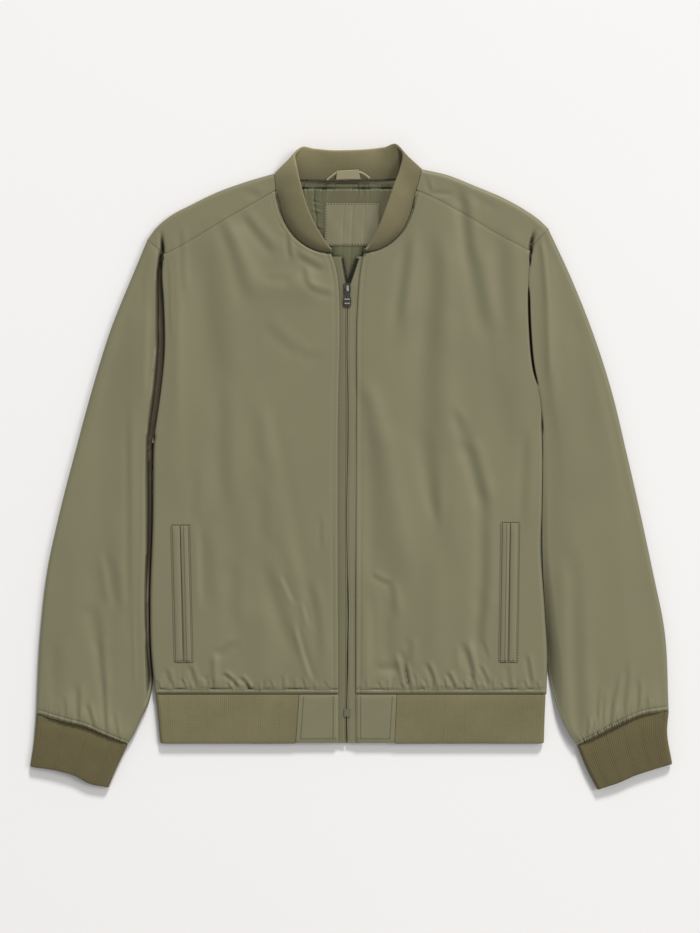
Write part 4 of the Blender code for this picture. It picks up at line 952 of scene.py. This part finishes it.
def sleeve_grid(name, side, armhole, back_armhole, wing):
    """Outer points of a sleeve: rings from the armhole to the cuff seam."""
    sign = side["sign"]
    apart = np.array((0.36 * sign, -0.14, 0.0))
    wing_end = wing[:, -1]
    front_ring = [*armhole, *wing_end[:7:-1]]
    over = wing_end[1:8][::-1]
    back_ring = list(back_armhole[::-1])
    front_ring, over, back_ring = (np.array(g) + apart for g in (front_ring, over, back_ring))
    front_ring[0, 0] += 0.9 * sign
    back_ring[-1, 0] += 0.9 * sign
    first_top = line(front_ring, smooth=False)(ACROSS)
    first_under = line(back_ring, smooth=False)(np.linspace(0, 1, UNDER))
    fold = line([front_ring[-1], *over, back_ring[0]], smooth=False)(
        np.linspace(0, 1, TURN + 2))[1:-1]
    link = line([back_ring[-1], front_ring[0]], smooth=False)(np.linspace(0, 1, TURN + 2))[1:-1]
    grid = [np.concatenate([first_top, fold, first_under, link])]

    ring_top = line([p[:2] for p in front_ring], smooth=False)
    ring_under = line([p[:2] for p in back_ring[::-1]], smooth=False)
    rounded = ring_top(ACROSS)
    for _ in range(160):
        rounded[1:-1] = (rounded[:-2] + 2 * rounded[1:-1] + rounded[2:]) / 4
    outer = line(side["sleeve_outer"])
    inner = line([front_ring[0][:2], *side["sleeve_inner"]])
    seam = line(side["cuff_seam"])
    length = outer.length
    outer_in = line([front_ring[-1][:2],
                     *inset_points(outer, FOLD, -sign, np.linspace(0.03, 1, 14))])
    armpit, armpit_back = front_ring[0][:2], back_ring[-1][:2]

    def inner_in(t):
        t = np.asarray(t, float)
        return inset(inner, t, side["inner_fold"] * ease(t / 0.04), sign)

    def under_in(t):
        away = (1 - ease(np.asarray(t, float) / 0.07))[..., None]
        return inner_in(t) + (armpit_back - armpit) * away

    def ring_at(up):
        """The armhole as rows follow it: its corner rounds off as they leave it."""
        share = ease(up * length / 16)

        def points(t):
            soft = np.stack([np.interp(t, ACROSS, rounded[:, k]) for k in (0, 1)], axis=-1)
            return (1 - share) * ring_top(t) + share * soft

        return points

    def spread(plan, across, up):
        run = up * length
        share = across**0.5 * (1 - across) ** 1.5 / 0.325
        plan[:, 0] += sign * 18 * (1 - math.exp(-run / 26)) * (1 - up) * share
        return plan

    near_height = first_top[:, 2]
    edge_x = body_edge(side)

    def height(plan, across, up):
        width = 236 + (115 - 236) * up
        from_inner = across * width
        full = 2 * FOLD + SLEEVE_CROWN * np.sin(math.pi * across)
        folds = SLEEVE_FOLD * relief(plan, SLEEVE_FOLDS) + crease_relief(plan, SLEEVE_CREASES)
        away = (1 - up) * length
        puff = 1.6 * bell(away - 12, 22)
        puff = puff + 0.8 * pucker(across * 95 + 40 * sign) * math.exp(-away / 8)
        z = full + (folds + puff) * ease((from_inner + 2) / 8) * ease((1 - across) * width / 14)
        z -= 1.8 * bell(away, 1.6) + 0.7 * bell(away - CUFF_STITCH)
        z += pleat(plan, side["pleats"], away)
        d = sign * (plan[:, 0] - edge_x(plan[:, 1]))
        z -= side["roll"] * bell(np.clip(d - 7, 0, 99), 11)
        z -= (z - LOW) * dip(name, plan[:, 1], d)[0]
        start = ease(up * length / side["step_in"])
        return near_height + (z - near_height) * start

    levels = np.concatenate([np.linspace(1, 14, 11), np.linspace(17, length - 32, 138),
                             np.linspace(length - 30, length - 8, 10),
                             np.linspace(length - 7, length, 9)]) / length
    across_under = np.linspace(0, 1, UNDER)
    for up in levels:
        plan = spread(patch(ring_at(up), seam, inner_in, outer_in, ACROSS, up), ACROSS, up)
        top = np.column_stack([plan, height(plan, ACROSS, up)])
        flat = patch(ring_under, seam, under_in, outer_in, across_under, up)
        flat = spread(flat, across_under, up)
        lift = SLEEVE_BACK_FOLD * relief(flat, SLEEVE_BACK_FOLDS) * ease(up * 12)
        lift *= ease(across_under * 9) * ease(9 - across_under * 9)
        under = np.column_stack([flat[::-1], lift[::-1]])
        tips = outer(np.array(up)), inner(np.array(up))
        grid.append(ring(*tips, top, under, (1.0, side["inner_rise"]), TURN))
    return np.array(grid)


def cuff_grid(side):
    """Outer points of a cuff and the distance round it at each column."""
    sign = side["sign"]
    outer, inner = line(side["cuff_outer"]), line(side["cuff_inner"])
    seam, edge = line(side["cuff_seam"]), line(side["cuff_edge"])
    outer_in = line(inset_points(outer, BAND_FOLD, -sign, np.linspace(0, 1, 6)))
    inner_in = line(inset_points(inner, BAND_FOLD, sign, np.linspace(0, 1, 6)))
    across, under_across = np.linspace(0, 1, 216), np.linspace(0, 1, 60)
    grid = []
    for up in np.linspace(0.3 / outer.length, 1 - RIB / 2 / outer.length, 15):
        plan = patch(seam, edge, inner_in, outer_in, across, up)
        soft = 0.5 * np.sin(plan[:, 0] / 17.0 + 3 * up) * np.sin(math.pi * across)
        crown = 2 * BAND_FOLD + 0.8 * np.sin(math.pi * across) + soft * (1 - 0.4 * up)
        run = up * outer.length
        crown = crown - 3.6 * bell(run, 9) * np.sin(math.pi * across) ** 0.4
        top = np.column_stack([plan, crown])
        flat = patch(seam, edge, inner_in, outer_in, under_across, up)
        under = np.column_stack([flat[::-1], np.zeros(len(flat))])
        tips = outer(np.array(up)), inner(np.array(up))
        grid.append(ring(*tips, top, under, (1.0, 1.0), 14))
    grid = np.array(grid)
    return grid, run_along(grid[len(grid) // 2])


def hem_grid():
    """Outer points of the hem band, from one tab round the back to the other."""
    turns = np.linspace(math.pi / 2, -math.pi / 2, 16)[1:-1]
    rows = []
    for up in np.linspace(0, 1, 14):
        points = []
        for side in (RIGHT, LEFT):
            sign = side["sign"]
            edge, end = line(side["band_side"]), line(side["band_end"])
            tip = edge(np.array(up))
            fold = tip - np.array((sign * BAND_FOLD, 0.0))
            finish = end(np.array(up))
            low = BAND_Y + RIB / 2
            y = HEM_Y - GAP + (low - HEM_Y + GAP) * up
            half = []
            for x in np.linspace(finish[0], fold[0], 280):
                soft = 0.45 * math.sin(x / 21.0 + 2 * up) + 0.3 * math.sin(x / 9.0 + 4 * up)
                z = 2 * BAND_FOLD + soft * math.sin(math.pi * up)
                half.append((x, y, z - 0.8 * bell(up * BAND_LONG, 4)))
            for turn in turns:
                half.append((fold[0] + sign * BAND_FOLD * math.cos(turn), y,
                             BAND_FOLD + BAND_FOLD * math.sin(turn)))
            for x in np.linspace(fold[0], CENTRE_X, 60):
                half.append((x, y, 0.0))
            points += half if side is RIGHT else half[::-1][1:]
        rows.append(points)
    grid = np.array(rows)
    return grid, run_along(grid[len(grid) // 2])


def tab_grid(side):
    sign = side["sign"]
    zip_edge = side["front_edge"][0].x
    rows = []
    for up in np.linspace(0, 1, 20):
        finish = line(side["band_end"])(np.array(up))[0] - sign * 0.5
        y = HEM_Y - GAP + (BAND_Y + 0.9 - HEM_Y + GAP) * up
        xs = np.linspace(zip_edge, finish, 26)
        z = 2 * BAND_FOLD + 0.5 * np.sin(xs / 8.0 + 5 * up) * math.sin(math.pi * up)
        from_edge = np.abs(xs - zip_edge)
        z = z - round_edge(from_edge, EDGE_TURN)
        z -= 0.7 * bell(up * BAND_LONG, 2) + 0.8 * bell((1 - up) * BAND_LONG, 1.5)
        rows.append(np.column_stack([xs, np.full_like(xs, y), z]))
    return np.array(rows)


def collar_grid(necks, halves):
    """Outer points of the collar, from one front edge round the back of the neck."""
    columns = []
    for name, side in SIDES.items():
        sign = side["sign"]
        rows, wing, _ = halves[name]
        base = [np.array(p) for p in necks[name]]
        base += [np.array(p) for p in wing[::-1, 0][::3]]
        base += [np.array(p) for p in rows[-1][:16][::-1][::3]]
        base = np.array(base)
        behind = base[:, 1] > 322
        base[:, 0] -= sign * 0.5 * (base[:, 2] > 0.5)
        base[:, 1] += np.where(behind & (base[:, 2] < 6), 1.3, 0.25)
        base[:, 2] = np.maximum(base[:, 2], 0.4)
        run = line(base, smooth=False)
        rim = side["collar_rim"]
        t = np.linspace(0, 1, 480)
        upper = line([r[1:] for r in rim], at=[r[0] for r in rim])(t)
        low = run(t)
        for _ in range(400):
            low[1:-1, 2] = (low[:-2, 2] + 2 * low[1:-1, 2] + low[2:, 2]) / 4
        half = list(zip(low, upper))
        columns += half if name == "right" else half[::-1][1:]
    low = np.array([c[0] for c in columns])
    high = np.array([c[1] for c in columns])
    size = np.linalg.norm(high - low, axis=1)[:, None]
    high = high + (low - high) * (RIB / 2) / size
    run = run_along(low)
    # In front and at the sides the collar starts below the shell's edge and bulges.
    front = ease((330 - low[:, 1]) / 20)
    rows = []
    for t in np.linspace(0, 1, 16):
        row = low + (high - low) * t
        bulge = 2.2 * math.sin(math.pi * t**0.8) * ease(size[:, 0] / 30)
        row[:, 2] += front * (bulge - 1.6 * bell(t * 5.0))
        row[:, 2] += 0.35 * np.sin(run / 19.0 + 1.5 * t) * math.sin(math.pi * t)
        rows.append(row)
    grid = np.array(rows)
    return grid, run


# ---- sewing, zip and small pieces ----


def seam_path(points, names, lift=0.1):
    """Points laid on surfaces along a plan line, about 1 mm apart."""
    run = line(points)
    path = []
    for x, y in run(np.linspace(0, 1, max(2, int(run.length)))):
        z = top_of(names, x, y)
        if z is not None:
            path.append((x, y, z + lift))
    return np.array(path)


def add_blocks(name, blocks, look, body="jacket", sharp=50):
    """One mesh of small closed blocks, each given as four rings of four points."""
    verts, faces = [], []
    for block in blocks:
        base = len(verts)
        verts += block
        for s in range(3):
            for k in range(4):
                a, b = base + s * 4 + k, base + s * 4 + (k + 1) % 4
                faces.append([a, b, b + 4, a + 4])
        faces.append([base + 3, base + 2, base + 1, base])
        faces.append([base + 12, base + 13, base + 14, base + 15])
    uvs = [np.zeros((len(f), 2)) for f in faces]
    add_mesh(name, verts, faces, uvs, look, body=body, sharp=sharp)


def stitches(name, paths, pitch, long, wide):
    """Rows of stitches along paths, each a short raised thread that dips in at its ends."""
    blocks = []
    stations = ((-0.5, 0.45, -0.8), (-0.28, 1.0, 0.0), (0.28, 1.0, 0.0), (0.5, 0.45, -0.8))
    for path in paths:
        if len(path) < 3:
            continue
        run = run_along(path)
        for at in np.arange(pitch / 2, run[-1], pitch):
            ends = [np.array([np.interp(at + d * long, run, path[:, k]) for k in range(3)])
                    for d in (-0.5, 0.0, 0.5)]
            way = unit(ends[2] - ends[0])
            across = unit(np.cross(way, (0, 0, 1.0)))
            up = np.cross(across, way)
            block = []
            for along, size, sink in stations:
                centre = ends[1] + way * along * long + up * sink * wide
                block += [centre + (across * a + up * b) * wide * size
                          for a, b in ((1, 0), (0, 0.8), (-1, 0), (0, -0.8))]
            blocks.append(block)
    add_blocks(name, blocks, THREAD)


def beads(name, centres, shape, look, body="jacket"):
    """Copies of a small chamfered block at each centre, in one mesh."""
    lx, ly, lz, bevel = shape
    corners = ((-1, -1), (1, -1), (1, 1), (-1, 1))
    profile = []
    for sz, inner in ((-1, 1), (-1, 0), (1, 0), (1, 1)):
        d = bevel * inner
        profile += [(sx * (lx / 2 - d), sy * (ly / 2 - d), sz * (lz / 2 - bevel * (1 - inner)))
                    for sx, sy in corners]
    blocks = [[np.array(centre) + p for p in np.array(profile)] for centre in centres]
    add_blocks(name, blocks, look, body, sharp=40)


def pad_strip(name, left, right, names, look, crown, columns, lift=0.05, count=60, thick=0.9):
    """A low padded strip lying on surfaces between two plan lines."""
    grid = []
    across = np.linspace(0, 1, columns + 1)
    for t in np.linspace(0, 1, count + 1):
        a, b = left(t), right(t)
        plan = a + (b - a) * across[:, None]
        ends = min(1.0, 12 * t, 12 * (1 - t)) ** 0.5
        row = []
        for (x, y), f in zip(plan, across):
            z = top_of(names, x, y)
            z = BODY_TOP if z is None else z
            row.append((x, y, z + lift + thick + crown * math.sin(math.pi * f) ** 0.6 * ends))
        grid.append(row)
    shell(name, [np.array(grid)], thick, look, soften=1)


# ---- the jacket's pieces ----


def build_cloth():
    """The fronts, back, sleeves, bands, tabs and collar."""
    halves, necks, armholes = {}, {}, {}
    for name, side in SIDES.items():
        grid, armholes[name], forward = front_grid(name, side)
        shell(f"front_{name}", [grid], CLOTH, SHELL, flip=side is RIGHT)
        halves[name] = back_half(side, forward)
        necks[name] = grid[-1, [0, *range(4, 56, 3)]]
    grids = [g[:, ::-1] for g in halves["left"][:2]] + list(halves["right"][:2])
    shell("back_panel", grids, CLOTH, SHELL)
    for name, side in SIDES.items():
        flip = side is LEFT
        _, wing, back_armhole = halves[name]
        grid = sleeve_grid(name, side, armholes[name], back_armhole, wing)
        shell(f"sleeve_{name}", [grid], CLOTH, SHELL, flip=flip, closed=True)
        grid, run = cuff_grid(side)
        band(f"cuff_{name}", grid, rib_wave(run), RIB, CUFF_RIB_PAINTED_SHADE, flip=flip, closed=True)
        shell(f"hem_tab_{name}", [tab_grid(side)], CLOTH, SHELL, flip=flip)
    grid, run = hem_grid()
    band("hem_band", grid, rib_wave(run), RIB, KNIT)
    grid, run = collar_grid(necks, halves)
    band("collar", grid, 0.35 * rib_wave(run), RIB, COLLAR_RIB_PAINTED_SHADE, flip=True)


TAPE_TOP, TAPE_THICK, OPEN_Y = 6.6, 0.8, 214.0


def opening(side, y):
    return side["tape_opening"] * max(0.0, y - OPEN_Y)


def build_zip():
    """Tapes meeting in a thin slit, the coil where they part, the metal's painted highlights."""
    steps = np.array([0, 0.15, 0.35, 0.6, 0.9, 1.3, 1.6, 1.8, 2.0, 2.3, 3.0, 4.0, 5.5])
    threads = []
    for name, side in SIDES.items():
        sign = side["sign"]
        edge = line(side["front_edge"])
        top = edge(1.0)[1]
        rows = []
        for y in np.linspace(-321, 247, 284):
            x = edge(np.array((y - HEM_Y) / (top - HEM_Y)))[0]
            gape = 0.5 * ease((-110 - y) / 60) * (0.5 + 0.5 * math.sin(0.075 * y + sign))
            start = SLIT_X + sign * (0.15 + opening(side, y) + gape)
            start += 0.8 * math.sin(y / 37.0) * ease((180 - y) / 60)
            width = abs(x + sign * 5.0 - start)
            d = np.concatenate([steps, np.linspace(6.5, max(width, 7.5), 5)])
            d = d * width / d[-1]
            z = TAPE_TOP - round_edge(d, 0.9)
            z += 0.3 * bell(d - 1.1, 0.6) - 0.3 * bell(d - 1.9, 0.4)
            z += 0.07 * pucker(y * 1.1 + 2 * sign) + side["tape_tilt"] * (d - 3)
            rows.append(np.column_stack([start + sign * d, np.full_like(d, y), z]))
        tape = f"zip_tape_{name}"
        # The right tape takes the darker copy: painted shade.
        look = TAPE_PAINTED_SHADE if name == "right" else TAPE
        shell(tape, [np.array(rows)], TAPE_THICK, look, flip=sign < 0, soften=1)
        centres = []
        for y in np.arange(216, 245, 1.3):
            gap = opening(side, y)
            centres.append((SLIT_X + sign * (gap + side["coil"][0]), y, TAPE_TOP + 0.5))
        beads(f"zip_coil_{name}", centres, (side["coil"][1], 0.8, 1.0, 0.25), COIL)
        for low, high in ((-318, 199), (216, 245)):
            far = 1.9 if low < 0 else side["coil"][0] + side["coil"][1] / 2 + 0.5
            threads.append(seam_path([(SLIT_X + sign * (far + opening(side, y)), y)
                                      for y in np.linspace(low, high, 60)], [tape], lift=0.06))
    stitches("zip_sewing", threads, 1.9, 1.3, 0.28)
    pull, slider = nodes["zip_pull"], nodes["zip_slider"]
    spots = np.array([pull.matrix_world @ v.co for v in pull.data.vertices]) / MM
    ends = spots[:, 1].min(), spots[:, 1].max()
    heights = spots[spots[:, 1] < ends[0] + 3, 2].max(), spots[spots[:, 1] > ends[1] - 3, 2].max()
    # Bright bars on the pull's ridges and a bright block on the slider's top: painted highlights.
    bars = [(SLIT_X, y, np.interp(y, ends, heights) + 0.1) for y in (197.0, 192.2)]
    beads("zip_pull_painted_highlight_bars", bars, (6.4, 1.5, 0.9, 0.3), PAINTED_HIGHLIGHT_METAL, body="pull_tab")
    crown = max((slider.matrix_world @ v.co).z for v in slider.data.vertices) / MM
    beads("zip_slider_painted_highlight_crown", [(SLIT_X + 0.6, 209.4, crown - 0.3)], (2.9, 6.4, 1.2, 0.45), PAINTED_HIGHLIGHT_METAL)


def build_pockets():
    for name, side in SIDES.items():
        sign = side["sign"]
        upper, lower = side["pocket"]
        front = [f"front_{name}"]
        for welt, start, finish in (("outer", 0.45, WELT), ("inner", -WELT, -0.45)):
            lines = []
            for off in sorted((start * sign, finish * sign)):
                wider = 2.2 if abs(off) < 2 else 1.0
                lines.append(line(((lower.x + off * wider, lower.y), (upper.x + off, upper.y))))
            pad_strip(f"pocket_{name}_welt_{welt}", *lines, front, SHELL, 0.8, 14, count=110,
                      thick=0.8)


def build_neck():
    """The lining and patch inside the neck, and the hanging loop with its tab."""
    rows = []
    for y in np.linspace(196, 331.5, 120):
        half = np.interp(y, (196, 230, 262, 290, 315, 331.5), (60, 66, 70, 72, 70, 62))
        xs = np.linspace(CENTRE_X - half, CENTRE_X + half, 134)
        z = 3.9 + 0.5 * np.sin(xs / 11.0 + y / 40.0) * ease((np.abs(xs) - 30) / 20)
        # Gathers under the neck seam, and a gathered seam down its side.
        uneven = 0.5 + 0.5 * np.sin(0.19 * xs + 1.3 * np.sin(0.07 * xs + 0.05 * y))
        z += 1.5 * math.exp((y - 331.5) / 10) * uneven * pucker(
            xs * 0.8 + 2.2 * np.sin(0.11 * y + 0.05 * xs))
        z -= (1.0 + uneven) * bell(y - 326.8, 1.2)
        beside = xs + 42 + 0.06 * (y - 300) + 0.7 * math.sin(y / 6)
        uneven = 0.5 + 0.5 * math.sin(0.23 * y + 1.2 * math.sin(0.09 * y))
        gathers = 0.7 * uneven * bell(beside - 2, 5) * pucker(y * 0.8 + 0.25 * xs)
        z += (gathers - 0.9 * bell(beside, 0.9)) * ease((330 - y) / 8)
        z += 0.25 * np.sin(xs / 4.3 + np.sin(y / 9)) * np.sin(y / 13 + xs / 31)
        for fold, deep in ((-9.6, 0.35), (1.0, 0.5), (15.0, 0.45)):
            z -= deep * bell(xs - fold - 0.04 * (y - 285), 1.3) * ease((312 - y) / 12)
        rows.append(np.column_stack([xs, np.full_like(xs, y), z]))
    shell("back_lining", [np.array(rows)], 0.8, LINING)
    pad_strip("neck_patch", line(((-31, 260), (-31, 310))), line(((33, 260), (33, 310))),
              ["back_lining"], PATCH, 0.2, 64, thick=0.6)
    path = line(((-28.5, 336.5), (-23, 340.5), (-16.5, 345), (-4, 345.5), (6, 346), (13, 344),
                 (21.8, 338.3)))
    here = np.linspace(0, 1, 60)
    edges = [line(inset_points(path, 1.3, way, here), smooth=False) for way in (1, -1)]
    pad_strip("hanger_loop", *edges, ["collar"], LOOP, 0.8, 8, lift=0.4)
    pad_strip("hanger_tab", line(((-17.5, 336.8), (-16.5, 346.8))),
              line(((11.0, 337.3), (8.5, 348))), ["collar"], LOOP, 0.3, 20, lift=1.9, count=16,
              thick=0.6)


def build_sewing():
    """Topstitching, laid on the surfaces it runs over."""
    paths = []

    def sew(points, *names):
        paths.append(seam_path(points, names))

    for name, side in SIDES.items():
        sign = side["sign"]
        front, tab = f"front_{name}", f"hem_tab_{name}"
        along = np.linspace(0.005, 0.97, 24)
        sew(inset_points(line(side["front_edge"]), EDGE_STITCH, sign, along), front)
        x = side["front_edge"][0].x
        low = HEM_Y + EDGE_STITCH
        sew([(at, low) for at in np.linspace(x + sign * 1, side["side"][0].x - sign * 6, 30)],
            front)
        along = np.linspace(0.03, 0.95, 20)
        sew(inset_points(line(side["neck"]), NECK_STITCH, sign, along), front)
        # the pocket's frame, the seam beside its slit, and the bars across its ends
        upper, lower = (np.array(p) for p in side["pocket"])
        on = front, f"pocket_{name}_welt_outer", f"pocket_{name}_welt_inner"
        for off in (-WELT_FRAME, -4.0, WELT_FRAME):
            sew([lower + (off * sign, -0.5), upper + (off * sign, 0.5)], *on)
        for place, row in ((upper, 0.8), (lower, -0.8), (lower, 1.6)):
            sew([place + (-WELT_FRAME, row), place + (WELT_FRAME, row)], *on)
        high, low = HEM_Y - 3, BAND_Y + TAB_STITCH
        near, far = x + sign * TAB_STITCH, side["band_end"][1].x - sign * TAB_STITCH
        sew([(near, low), (near, high)], tab)
        sew([(x + sign * 1.5, low), (far, low)], tab)
        sew([(far, low), (side["band_end"][0].x - sign * 5.5, high)], tab)
        along = np.linspace(0.05, 0.95, 24)
        sew(inset_points(line(side["cuff_seam"]), -CUFF_STITCH, sign, along), f"sleeve_{name}")
    # round the patch and at the back of the neck
    corners = [(-29.5, 261.5), (31.5, 261.5), (31.5, 308.5), (-29.5, 308.5), (-29.5, 261.5)]
    for ends in zip(corners, corners[1:]):
        sew(ends, "neck_patch")
    sew([(x, 337.6) for x in np.linspace(-55, 50, 12)], "collar")
    sew([(x, 326.5) for x in np.linspace(-52, 48, 12)], "back_lining")
    stitches("sewing", paths, 3.3, 1.8, 0.55)


build_cloth()
build_zip()
build_pockets()
build_neck()
build_sewing()

for name, piece in pieces.items():
    if name in nodes:
        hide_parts(name)
for name, look in (("zip_slider", METAL), ("zip_pull", METAL), ("zip_box", BOX)):
    nodes[name].data.materials.clear()
    nodes[name].data.materials.append(look)

# ---- floor, light and camera ----

floor_mesh = bpy.data.meshes.new("floor")
wide = 6.0
floor_mesh.from_pydata([(-wide, -wide, 0), (wide, -wide, 0), (wide, wide, 0), (-wide, wide, 0)],
                       [], [(0, 1, 2, 3)])
floor = bpy.data.objects.new("floor", floor_mesh)
floor.location.z = -0.0004
bpy.context.scene.collection.objects.link(floor)
floor_look, tree, shader = new_material("floor")
haze = noise(tree, own_place(tree), 2.0)
set_inputs(tree, shader, {
    "Base Color": ramp(tree, haze, 0.2, (0.795, 0.78, 0.77), 0.8, (0.805, 0.79, 0.78)),
    "Roughness": 0.9, "Specular IOR Level": 0.1})
floor_mesh.materials.append(floor_look)


def area_light(name, place, size, power, colour):
    """A square light that looks at the origin."""
    data = bpy.data.lights.new(name, "AREA")
    data.shape = "RECTANGLE"
    data.size = data.size_y = size
    data.energy = power
    data.color = colour
    lamp = bpy.data.objects.new(name, data)
    lamp.location = place
    lamp.rotation_euler = (-Vector(place)).to_track_quat("-Z", "Y").to_euler()
    bpy.context.scene.collection.objects.link(lamp)


area_light("key", (5.2, 19.4, 13.1), 4.2, 4710, (1.0, 0.985, 0.97))
area_light("side", (6.5, 2.0, 7.8), 4.0, 345, (1.0, 0.985, 0.975))
world = bpy.data.worlds.new("studio")
world.use_nodes = True
world.node_tree.nodes["Background"].inputs["Color"].default_value = (0.97, 0.99, 1.0, 1)
world.node_tree.nodes["Background"].inputs["Strength"].default_value = 0.462
bpy.context.scene.world = world
bpy.context.scene.view_settings.view_transform = "Standard"

camera_data = bpy.data.cameras.new("camera")
camera_data.lens = 85.7
camera_data.sensor_fit = "VERTICAL"
camera_data.sensor_height = 36
camera = bpy.data.objects.new("camera", camera_data)
camera.location = (-0.0014, 0.0018, 2.6)
bpy.context.scene.collection.objects.link(camera)
bpy.context.scene.camera = camera
